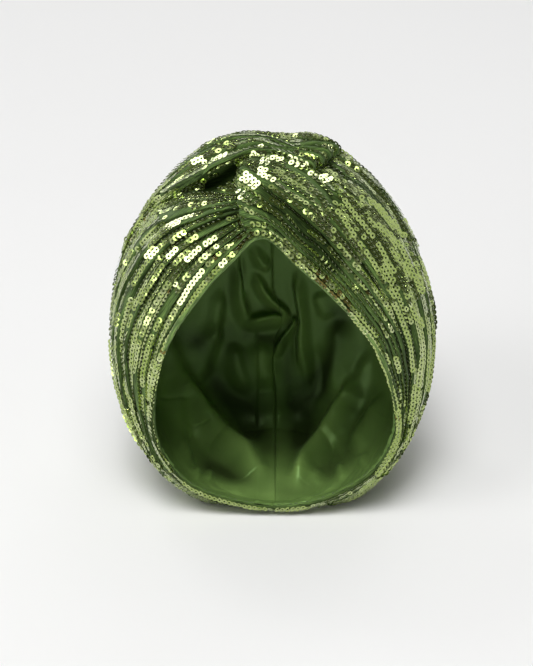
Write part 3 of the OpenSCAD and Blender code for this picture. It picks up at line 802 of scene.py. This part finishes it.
def tube_faces(n, k, flip):
    idx = np.arange(n * k).reshape(n, k)
    nx = np.roll(idx, -1, 1)
    F = np.stack([idx[:-1], nx[:-1], nx[1:], idx[1:]], -1).reshape(-1, 4)
    caps = []
    for row, rev in ((idx[0], True), (idx[-1], False)):
        for j in range(1, k // 2):
            q = [row[j - 1], row[j], row[k - j - 1], row[k - j]] if j > 1 else [row[0], row[1], row[k - 2], row[k - 1]]
            caps.append(q[::-1] if rev else q)
    F = np.concatenate([F, np.array(caps)])
    return F[:, ::-1] if flip else F


rims = {}
for side, tag in ((-1, "left"), (1, "right")):
    aa = np.linspace(0.0, 180.0, 420)
    a = aa * side
    # plain turned cloth shows wider where no row of sequins reaches the edge
    wide = (1.9 * np.exp(-((aa - 52) / 13) ** 2)) if side < 0 else (0.9 * np.exp(-((aa - 84) / 20) ** 2))
    sc = 0.004 + wide * 0.0040
    c = form(a, sc, -1.05)
    nrm = form(a, sc, 1.0) - form(a, sc, -1.0)
    nrm /= np.linalg.norm(nrm, axis=-1, keepdims=True)
    tan = np.gradient(c, axis=0)
    tan /= np.linalg.norm(tan, axis=-1, keepdims=True)
    bi = np.cross(tan, nrm)
    bi /= np.linalg.norm(bi, axis=-1, keepdims=True)
    wob = 1 + 0.10 * noise2(a / 20, a * 0, 61, 3)
    rims[side] = (c, nrm, bi, tan, aa)
    thin = 1 - 0.3 * np.clip((aa - 95) / 25, 0, 1)
    T = tube(c, np.stack([nrm, bi], 1), (1.25 + 0.15 * wide) * wob * thin, (1.15 + wide) * wob * thin, 16)
    T[..., 2] = np.maximum(T[..., 2], 0.3)
    n, k = T.shape[:2]
    ang = np.tile(np.arange(k) * 0.6, (n, 1))
    al = np.tile(arc(c, 0)[:, None], (1, k))
    # painted shade: the turned edge's colour is darker from about 62 degrees on, darkest from 95 degrees to the nape
    o = mesh_object(f"rim_edge_{tag}", T.reshape(-1, 3), tube_faces(n, k, side > 0), np.stack([al, ang], -1).reshape(-1, 2), M_EDGE,
                    {"painted_shading": np.repeat(np.interp(aa, [0, 62, 95, 180], [0.8, 0.85, 0.42, 0.42]), k)})
    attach(o, "root"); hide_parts(f"rim_facing_{tag}")

# ------------------------------------------------------------------ hem stitches
SV, SF, base = [], [], 0
for side in (-1, 1):
    aa = np.linspace(2, 179, 1200)
    line = form(side * aa, np.full_like(aa, 0.030), LSEW(np.full_like(aa, 0.030), aa) - 0.15)
    inn = form(side * aa, np.full_like(aa, 0.030), -6.0) - form(side * aa, np.full_like(aa, 0.030), -4.0)
    inn /= np.linalg.norm(inn, axis=-1, keepdims=True)
    L = arc(line, 0)
    for j in range(int(L[-1] / 3.3)):
        q = np.linspace(j * 3.3 + 0.45, j * 3.3 + 2.75, 7)
        g = lambda A: np.stack([np.interp(q, L, A[:, i]) for i in range(3)], -1)
        p, m = g(line), g(inn)
        hump = np.sin(np.linspace(0, np.pi, 7))
        p = p + m * (0.30 * hump - 0.12)[:, None]
        tn = np.gradient(p, axis=0)
        tn /= np.linalg.norm(tn, axis=-1, keepdims=True)
        b2 = np.cross(tn, m)
        r = 0.10 + 0.13 * hump
        T = tube(p, np.stack([m, b2], 1), r, r, 8)
        SV.append(T.reshape(-1, 3))
        SF.append(tube_faces(7, 8, True) + base)
        base += 56
o = mesh_object("hem_stitch_row", np.concatenate(SV), np.concatenate(SF), None, M_THREAD)
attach(o, "root"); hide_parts("hem_stitches")

# ------------------------------------------------------------------ sequins
SEG = 12
th = np.linspace(0, 2 * np.pi, SEG, endpoint=False)
prof = [(0.60, 0.02), (0.66, 0.07), (1.70, 0.04), (1.76, -0.02), (0.64, -0.06)]
TPL = np.array([[r * math.cos(q), r * math.sin(q), z] for q in th for r, z in prof])
kp = len(prof)
TF = []
for i in range(SEG):
    for j in range(kp):
        a, b = i * kp + j, i * kp + (j + 1) % kp
        c, d = ((i + 1) % SEG) * kp + (j + 1) % kp, ((i + 1) % SEG) * kp + j
        TF.append([a, b, c, d])
TF = np.array(TF)
PITCH = 3.05


# the stitch that holds each ring: from its hole, over its face and down beyond its edge
ST = np.array([[x, q[0] * 0.15, z + q[1] * 0.10] for x, z in ((0.50, -0.06), (1.15, 0.16), (1.90, -0.05)) for q in ((1, 0), (0, 1), (-1, 0), (0, -1))])
SF4 = np.array([[i * 4 + j, (i + 1) * 4 + j, (i + 1) * 4 + (j + 1) % 4, i * 4 + (j + 1) % 4] for i in (0, 1) for j in range(4)] + [[0, 1, 2, 3], [11, 10, 9, 8]])


def lerp_rows(P, pos):
    i = np.clip(np.floor(pos).astype(int), 0, P.shape[1] - 2)
    f = pos - i
    return P[:, i] * (1 - f) + P[:, i + 1] * f


def ring_row(line, nn, r, ok_at=None, lift=0.55, calm=1.0):
    """One chain of sequins along a line. Returns centres, x axes, z axes, tints."""
    L = np.concatenate([[0], np.cumsum(np.linalg.norm(np.diff(line, axis=0), axis=1))])
    n = int(L[-1] / PITCH)
    if n < 2:
        return None
    at = (np.arange(n) + 0.5 + r.uniform(-0.4, 0.4)) * PITCH + r.normal(0, 0.09, n)
    at = np.clip(at, 0, L[-1])
    idx = np.interp(at, L, np.arange(len(L)))
    g = lambda A: np.stack([np.interp(idx, np.arange(len(L)), A[:, k]) for k in range(3)], -1)
    c, z = g(line), g(nn)
    z /= np.linalg.norm(z, axis=-1, keepdims=True)
    x = np.gradient(c, axis=0)
    x -= np.sum(x * z, -1, keepdims=True) * z
    x /= np.maximum(np.linalg.norm(x, axis=-1, keepdims=True), 1e-9)
    ok = np.ones(n, bool) if ok_at is None else np.interp(idx, np.arange(len(ok_at)), ok_at.astype(float)) > 0.5
    ok &= r.random(n) > 0.012
    y = np.cross(z, x)
    # tilts run in waves along a row, with a shingle lean and a few loose ones
    w = np.arange(n)
    ph1, ph2 = r.uniform(0, 6.28, 2)
    roll = calm * np.radians(r.normal(0, 7) + 17 * np.sin(w / r.uniform(3.5, 7) + ph1) + 5 * np.sin(w / 1.9 + ph2) + r.normal(0, 3.5, n))
    pit = np.radians(-11 + calm * (6 * np.sin(w / r.uniform(5, 9) + ph2) + r.normal(0, 2.5, n)))
    loose = r.random(n) < 0.04
    roll = roll + loose * np.radians(r.normal(0, 20, n))
    pit = pit + loose * np.radians(r.normal(0, 14, n))
    z2 = z * np.cos(roll)[:, None] + y * np.sin(roll)[:, None]
    z2 = z2 * np.cos(pit)[:, None] + x * np.sin(pit)[:, None]
    x2 = x - np.sum(x * z2, -1, keepdims=True) * z2
    x2 /= np.linalg.norm(x2, axis=-1, keepdims=True)
    c = c + z * lift + y * r.normal(0, 0.08, n)[:, None]
    tint = np.clip(0.46 + 0.14 * np.sin(w / 13 + ph1) + r.normal(0, 0.13, n), 0, 0.9)
    tint = np.where(r.random(n) < 0.008, 1.0, tint)
    return c[ok], x2[ok], z2[ok], tint[ok]


def rows_at(P, lo, hi, spacing, first, seed, gap=1.0):
    """Row places across a grid, even in cloth width where the cloth is widest, with a wider gap now and then."""
    step = np.quantile(np.linalg.norm(np.diff(P[lo:hi], axis=1), axis=-1), 0.80, axis=0)
    d = np.concatenate([[0], np.cumsum(smooth(step, 0, 4))])
    r = np.random.default_rng(seed)
    out, x, k = [], first, 0
    nxt = int(r.integers(3, 6))
    while x < d[-1] - 1.4:
        out.append(np.interp(x, d, np.arange(len(d))))
        k += 1
        x += spacing + r.normal(0, 0.12)
        if gap and k == nxt:
            x += gap
            nxt = k + int(r.integers(3, 7))
    return out


def rings_on(P, N, rows, seed, lo=0, min_gap=2.7, calm=1.0):
    """Chains of sequins along rows of a grid; a row stops where it would run into its neighbour."""
    r = np.random.default_rng(seed)
    lines = [lerp_rows(P, q)[lo:] for q in rows]
    nns = [lerp_rows(N, q)[lo:] for q in rows]
    last = lines[0].copy()
    out = []
    for j, (line, nn) in enumerate(zip(lines, nns)):
        d = np.linalg.norm(line - last, axis=1)
        ok = np.ones(len(line), bool) if j == 0 else d >= (min_gap(len(line)) if callable(min_gap) else min_gap)
        m = max(3, len(line) // 24)
        sm = np.convolve(np.pad(ok.astype(float), m, mode="edge"), np.ones(2 * m + 1) / (2 * m + 1), mode="valid")
        ok = sm > 0.5
        last = np.where(ok[:, None], line, last)
        q = ring_row(line, nn, r, ok, calm=calm)
        if q is not None:
            out.append(q)
    return [np.concatenate([q[i] for q in out]) for i in range(4)]


def fill_gaps(data, P, N, rows, seed, lo=0, reach=3.25, calm=1.0, run=4):
    """Adds stretches of sewn rows wherever the plain cloth between rows is wide enough for one."""
    r = np.random.default_rng(seed)
    have = [data[0]]
    extra = []
    kd = None
    fine = []
    for a, b in zip(rows[:-1], rows[1:]):
        fine += [a + (b - a) * f for f in (0.5, 0.0, 0.28, 0.72)]
    for q in fine:
        if kd is None:
            pts = np.concatenate(have)
            kd = KDTree(len(pts))
            for i, c in enumerate(pts):
                kd.insert(c, i)
            kd.balance()
        got = ring_row(lerp_rows(P, q)[lo:], lerp_rows(N, q)[lo:], r, None, calm=calm)
        if got is None:
            continue
        ok = np.array([kd.find(c)[2] >= reach for c in got[0]])
        # keep only stretches of at least `run` sequins
        edges_ = np.flatnonzero(np.diff(np.concatenate([[0], ok.astype(int), [0]])))
        keep = np.zeros(len(ok), bool)
        for i, j in zip(edges_[::2], edges_[1::2]):
            if j - i >= run:
                keep[i:j] = True
        if keep.any():
            extra.append([g[keep] for g in got])
            have.append(got[0][keep])
            kd = None
    return [np.concatenate([data[i]] + [e[i] for e in extra]) for i in range(4)]


def split(data, mask):
    return [q[mask] for q in data]


def build_rings(name, data, node_names=(), floor=0.45):
    C, X, Z, T = data
    Y = np.cross(Z, X)
    V = C[:, None] + TPL[None, :, 0:1] * X[:, None] + TPL[None, :, 1:2] * Y[:, None] + TPL[None, :, 2:3] * Z[:, None]
    low = V[..., 2].min(axis=1)
    ok = low > floor
    V, T = V[ok], T[ok]
    n = len(V)
    F = (TF[None] + (np.arange(n) * len(TPL))[:, None, None]).reshape(-1, 4)
    o = mesh_object(name, V.reshape(-1, 3), F, None, M_SEQ, {"tint": np.repeat(T, len(TPL))}, soft=False)
    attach(o, "root")
    if node_names:
        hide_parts(*node_names)
    V = C[ok][:, None] + ST[None, :, 0:1] * X[ok][:, None] + ST[None, :, 1:2] * Y[ok][:, None] + ST[None, :, 2:3] * Z[ok][:, None]
    F = (SF4[None] + (np.arange(n) * len(ST))[:, None, None]).reshape(-1, 4)
    V[..., 2] = np.maximum(V[..., 2], 0.3)
    o = mesh_object(name.replace("sequins", "row_stitches"), V.reshape(-1, 3), F, None, M_ROW)
    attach(o, "root")
    return n


# Studio lamps: place in mm, size in m, watts. Sequins in the lit patches lie flat to one of them and are given the
# lightest tint, a painted highlight.
LAMPS = {
    "key": ((-1000, -700, 1350), 0.60, 0.65, 6.0),
    "low_left": ((-920, -1020, 340), 0.42, 0.42, 1.9),
    "high_left": ((-690, 580, 1660), 0.38, 0.38, 2.0),
    "low_back": ((-870, 1500, 600), 0.42, 0.30, 1.3),
    "front_top": ((200, -1300, 2500), 1.0, 1.0, 22),
}
# Broad dim panels: runs of sequins on the pleats that lie flat to these show plain bright green, from the panel's
# reflection and from a fixed tint set for them, painted light.
PANELS = {
    "soft_right": ((1200, -560, 980), 0.45, 0.45, 0.60),
    "soft_left": ((-1200, -560, 980), 0.45, 0.45, 0.38),
}
SOFT = [([(337, 212), (350, 229), (362, 240)], 2.8), ([(345, 204), (356, 218), (366, 230), (372, 238)], 2.8),
        ([(362, 198), (378, 207), (390, 222), (402, 236)], 1.9), ([(368, 220), (380, 228), (390, 238), (403, 253), (413, 271), (421, 292)], 2.3),
        ([(388, 248), (397, 259), (406, 273)], 2.0), ([(378, 245), (388, 262), (398, 282), (407, 300)], 1.7), ([(418, 300), (423, 312)], 1.9),
        ([(365, 250), (370, 258), (377, 265), (386, 276), (394, 294), (400, 305), (408, 318)], 2.9), ([(382, 264), (390, 280)], 2.4),
        ([(346, 279), (353, 287), (360, 290)], 2.8), ([(347, 292), (355, 304), (366, 322), (374, 334)], 3.2), ([(362, 284), (368, 300), (378, 318)], 2.8),
        ([(320, 258), (331, 270)], 2.6), ([(258, 231), (268, 236), (277, 243)], 2.4), ([(406, 302), (414, 314), (421, 326)], 2.0),
        ([(119, 325), (124, 303), (133, 283)], 2.8), ([(142, 296), (151, 282), (161, 267)], 2.8), ([(151, 254), (162, 246)], 2.4),
        ([(176, 262), (186, 250)], 2.2)]
EYE = np.array([0, (MID_Y - 30.0) - 1300 * math.cos(math.radians(30)), 110 + 1300 * math.sin(math.radians(30))])
LIT = [([(173, 284), (181, 273)], 3.8), ([(182, 272), (190, 262)], 3.8), ([(191, 261), (207, 240)], 3.8),
       ([(176, 303), (183, 293)], 3.4), ([(184, 292), (192, 280)], 3.4), ([(193, 279), (208, 257)], 3.4),
       ([(168, 226), (178, 223)], 3.4), ([(149, 256), (165, 248)], 3.0), ([(168, 257), (177, 253)], 3.2),
       ([(243, 180), (260, 192)], 3.6), ([(240, 190), (255, 202)], 3.6), ([(239, 201), (248, 209)], 3.4), ([(240, 212), (249, 220)], 3.2),
       ([(260, 171), (272, 179)], 3.4), ([(247, 175), (272, 191)], 1.6), ([(252, 157), (268, 161)], 3.6), ([(272, 157), (281, 160)], 2.4),
       ([(292, 156), (297, 164), (307, 158)], 5.0), ([(193, 162), (203, 161)], 2.8), ([(214, 157), (226, 157)], 3.2),
       ([(218, 169), (226, 166)], 2.4), ([(306, 172), (314, 177)], 2.4), ([(321, 179), (333, 180)], 2.6),
       ([(258, 143), (262, 148)], 1.3), ([(224, 264), (226, 266)], 3.4), ([(186, 218), (192, 216)], 2.4)]
# Plain cloth: the hollow beside the twist, the folded lower edge of the top band, and the end of that band.
BARE = [(-1, [(208, 185), (222, 179.5), (235, 170)], 5.5), (-1, [(170, 190), (186, 184), (200, 177), (216, 171.5), (232, 165)], 2.6),
        (-1, [(304, 147), (318, 144), (332, 144)], 1.6),
        (-1, BAND, 2.5), (1, [(285, 163), (315, 183), (326, 195), (340, 203)], 2.0)]
DARK = [([(268, 200), (290, 216), (312, 238), (330, 262)], 15.0, 1.0), ([(345, 206), (368, 232), (386, 262), (396, 288)], 14.0, 0.8),
        ([(165, 246), (185, 235), (210, 224), (234, 213)], 4.5, 0.9), ([(138, 286), (150, 268), (165, 255)], 4.5, 0.8),
        ([(150, 300), (165, 280), (180, 262), (196, 246)], 3.5, 0.8), ([(120, 262), (134, 240), (150, 224)], 6.0, 0.5)]
DARK_AT = (1100, 100, 1760)
BROWN = [([(236, 246), (246, 236), (254, 227)], 7.0), ([(318, 276), (330, 290), (346, 306)], 5.0), ([(283, 222), (290, 230)], 4.0)]


def unit(a):
    return a / np.maximum(np.linalg.norm(a, axis=-1, keepdims=True), 1e-9)


def face_lamps(data, seed):
    C, X, Z, T = data
    r = np.random.default_rng(seed)
    x, y = front_view(C)
    see = unit(EYE - C)
    best, top = Z.copy(), np.full(len(C), -1.0)
    hit = np.zeros(len(C), bool)
    faces = np.sum(see * Z, -1) > 0.05
    # painted light: rings in the SOFT and LIT patches are turned to a panel or lamp and given a fixed tint for that
    # light, the lightest under the lamps
    for table, lamps, painted_lit_tint in ((SOFT, PANELS, 0.36), (LIT, LAMPS, 0.88)):
        halves = [unit(see + unit(np.array(v[0], float) - C)) for v in lamps.values()]
        for pts, w in table:
            m = (line_dist(x, y, pts)[0] < w) & faces
            if not m.any():
                continue
            share = [np.mean(np.sum(h[m] * Z[m], -1) > math.cos(math.radians(38))) + 0.2 * np.mean(np.sum(h[m] * Z[m], -1)) for h in halves]
            h = halves[int(np.argmax(share))]
            d = np.sum(h * Z, -1)
            m &= d > math.cos(math.radians(55))
            best[m], top[m], T[m] = h[m], d[m], np.clip(painted_lit_tint + 0.05 * r.normal(0, 1, m.sum()), 0, 0.9)
            hit |= m
    Z2 = unit(best + r.normal(0, 0.022, best.shape))
    tilt = np.sqrt(np.maximum(1 - top ** 2, 0))
    C = np.where(hit[:, None], C + Z * (0.8 * tilt)[:, None], C)
    Z = np.where(hit[:, None], Z2, Z)
    X = unit(X - np.sum(X * Z, -1, keepdims=True) * Z)
    T = np.clip(T, 0, 1)
    # rings that lie in shade face a dark part of the room, and their tint is painted darker: painted shade
    dim = unit(see + unit(np.array(DARK_AT, float) - C))
    for pts, w, much in DARK:
        k = much * np.exp(-(line_dist(x, y, pts)[0] / w) ** 4) * faces * ~hit * (np.sum(dim * Z, -1) > 0.5) * r.uniform(0.7, 1.0, len(C))
        Z = unit(Z + k[:, None] * (dim - Z) + 0.05 * k[:, None] * r.normal(0, 1, Z.shape))
        T = T * (1 - 0.95 * k)
    X = unit(X - np.sum(X * Z, -1, keepdims=True) * Z)
    for pts, w in BROWN:
        T = np.where((line_dist(x, y, pts)[0] < w) & (r.random(len(C)) < 0.45), 1.0, T)
    return [C, X, Z, T]


counts = {}
for tag, P, side, seed in (("left", PL, -1, 5), ("right", PR, 1, 6)):
    N = smooth(normals(P) * side, 1, 2)
    rows = rows_at(P, NROLL + int(NU * 0.06), NROLL + int(NU * 0.80), 3.85, 2.3, seed)
    near = lambda n: np.interp(np.linspace(0, 1, n), [0, .12, .3, 1], [3.5, 3.4, 2.8, 2.75])
    data = rings_on(P, N, rows, seed, lo=int(NROLL * 0.30), min_gap=near)
    data = fill_gaps(data, P, N, rows, seed + 30, lo=int(NROLL * 0.30), reach=3.0, run=3)
    X, Y = front_view(data[0])
    bare = np.zeros(len(X), bool)
    for s_, pts, w_ in BARE:
        if s_ == side:
            bare |= line_dist(X, Y, pts)[0] < w_
    data = split(data, ~bare)
    data = face_lamps(data, seed + 90)
    knot = (np.abs(data[0][:, 0] - 2) < 48) & (data[0][:, 2] > 183)
    counts[f"sequins_{tag}_knot"] = build_rings(f"sequins_{tag}_twist", split(data, knot), ("sequins_knot",) if side > 0 else ())
    rest = split(data, ~knot)
    hi_ = rest[0][:, 2] > 105
    counts[f"{tag}_a"] = build_rings(f"sequins_{tag}_drape_upper", split(rest, hi_), (f"sequins_{tag}_drape",))
    counts[f"{tag}_b"] = build_rings(f"sequins_{tag}_drape_lower", split(rest, ~hi_))

for side, tag in ((-1, "left"), (1, "right")):
    P, U, V = backs[side]
    G = np.swapaxes(P, 0, 1)            # rows run top to nape
    N = np.swapaxes(normals(P) * side, 0, 1)
    rows = rows_at(G, NB // 2, G.shape[0] - NB // 2, 3.9, 2.2, 70 + side)
    data = rings_on(G, N, rows, 40 + side)
    up = data[0][:, 2] > 118
    counts[f"back_{tag}"] = build_rings(f"sequins_back_{tag}_upper", split(data, up), ("sequins_back",) if side > 0 else ())
    counts[f"back_{tag}_b"] = build_rings(f"sequins_back_{tag}_lower", split(data, ~up))

data = rings_on(PN, normals(PN), rows_at(PN, 60, 180, 3.8, 2.6, 45), 44, min_gap=2.4)
# a row sewn along the turned edge itself, on the nape and up both sides
r = np.random.default_rng(77)
edge_rows = []
for side, a0, a1 in ((-1, 69, 180), (1, 104, 180)):
    c, nrm, bi, tan, aa = rims[side]
    m = (aa >= a0) & (aa <= a1)
    fwd = np.array([0, -1.0, 0.12])
    z = 0.55 * nrm[m] + 0.85 * (fwd - np.sum(fwd * tan[m], -1, keepdims=True) * tan[m])
    z /= np.linalg.norm(z, axis=-1, keepdims=True)
    q = ring_row(c[m] + z * 1.15 + nrm[m] * 0.35, z, r, None, 0.1, calm=1.3)
    edge_rows.append(q)
data = [np.concatenate([data[i]] + [e[i] for e in edge_rows]) for i in range(4)]
counts["nape"] = build_rings("sequins_nape_band", data, ("sequins_nape",), floor=0.1)
print("SEQUINS", counts, sum(counts.values()))

# ------------------------------------------------------------------ carried-over pieces
for names, mat in ((("nape_elastic",), M_ELASTIC),
                   (("centre_back_tape", "crown_seam_tape", "left_side_seam_tape", "right_side_seam_tape"), M_TAPE),
                   (("knot_tack_stitches",), M_THREAD)):
    for n in names:
        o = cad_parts[n]
        o.data.materials.clear()
        o.data.materials.append(mat)

# ------------------------------------------------------------------ stage, light, camera
bpy.ops.mesh.primitive_circle_add(vertices=96, radius=14, fill_type="NGON", location=(0, 0, 0))
floor = bpy.context.object
floor.name = "studio_floor"
fm, nt, b = new_mat("studio_floor")
tc = node(nt, "ShaderNodeTexCoord")
nz = node(nt, "ShaderNodeTexNoise", in_Scale=2.0)
nt.links.new(tc.outputs["Object"], nz.inputs["Vector"])
nt.links.new(ramp(nt, nz.outputs[0], [(0.0, (0.86, 0.86, 0.86)), (1.0, (0.88, 0.88, 0.88))]), b.inputs["Base Color"])
b.inputs["Roughness"].default_value = 0.9
b.inputs["Specular IOR Level"].default_value = 0.1
floor.data.materials.append(fm)


def area(name, loc, target, size, power, color=(1, 1, 1), sy=None):
    d = bpy.data.lights.new(name, "AREA")
    d.shape = "RECTANGLE"
    d.size = size
    d.size_y = sy or size
    d.energy = power
    d.color = color
    o = bpy.data.objects.new(name, d)
    o.location = loc
    o.rotation_euler = (Vector(target) - Vector(loc)).to_track_quat("-Z", "Y").to_euler()
    o.visible_camera = False
    bpy.context.scene.collection.objects.link(o)
    return o


TG = (0, 0, 0.10)
for name, (loc, sx, sy, watts) in list(LAMPS.items()) + list(PANELS.items()):
    area(name, tuple(c * MM for c in loc), TG, sx, watts, (1.0, 0.995, 0.98), sy=sy)
area("top", (0.3, 0.8, 1.9), TG, 1.0, 2)
area("fill_right", (0.72, 1.0, 1.2), TG, 0.75, 1.5)
sun = bpy.data.lights.new("sun", "SUN")
sun.energy = 1.55
sun.angle = math.radians(22)
so = bpy.data.objects.new("sun", sun)
so.rotation_euler = (Vector((0, 0, 0)) - Vector((-0.14, -0.55, 1.1))).to_track_quat("-Z", "Y").to_euler()
bpy.context.scene.collection.objects.link(so)
w = bpy.data.worlds.new("studio")
bpy.context.scene.world = w
w.use_nodes = True
wn = w.node_tree
bg = wn.nodes["Background"]
geo = node(wn, "ShaderNodeTexCoord")
sepw = node(wn, "ShaderNodeSeparateXYZ")
wn.links.new(geo.outputs["Generated"], sepw.inputs[0])
high = ramp(wn, sepw.outputs[2], [(0.0, (0.74, 0.74, 0.74)), (0.12, (0.64, 0.64, 0.64)), (0.28, (0.15, 0.15, 0.15)), (0.5, (0.03, 0.03, 0.03)), (1.0, (0.04, 0.04, 0.04))])
rnd = ramp(wn, maths(wn, "MULTIPLY_ADD", sepw.outputs[1], 0.5, 0.5), [(0.0, (0.16, 0.16, 0.16)), (0.16, (0.30, 0.30, 0.30)), (0.40, (1, 1, 1))])
wmix = node(wn, "ShaderNodeMix", data_type="RGBA", blend_type="MULTIPLY")
wmix.inputs[0].default_value = 1.0
wn.links.new(high, wmix.inputs[6])
wn.links.new(rnd, wmix.inputs[7])
wn.links.new(wmix.outputs[2], bg.inputs[0])
bg.inputs[1].default_value = 1.6

D, PX = 1.3, 0.575
cam = bpy.data.cameras.new("camera")
cam.sensor_width = 36.0
cam.sensor_fit = "AUTO"
F = D * 1000 / PX
cam.lens = F * 36.0 / 666.0
co = bpy.data.objects.new("camera", cam)
bpy.context.scene.collection.objects.link(co)
E = math.radians(30.0)
tgt = Vector((0.0, (MID_Y - 30.0) * MM, 110 * MM))
right_v, up_v, fwd = Vector((1, 0, 0)), Vector((0, math.sin(E), math.cos(E))), Vector((0, math.cos(E), -math.sin(E)))
shift = right_v * (-5.0 * PX * MM) + up_v * (-4.0 * PX * MM)
co.location = tgt - fwd * D + shift
co.rotation_euler = fwd.to_track_quat("-Z", "Y").to_euler()
cam.clip_end = 60
bpy.context.scene.camera = co
bpy.context.scene.view_settings.view_transform = "Standard"
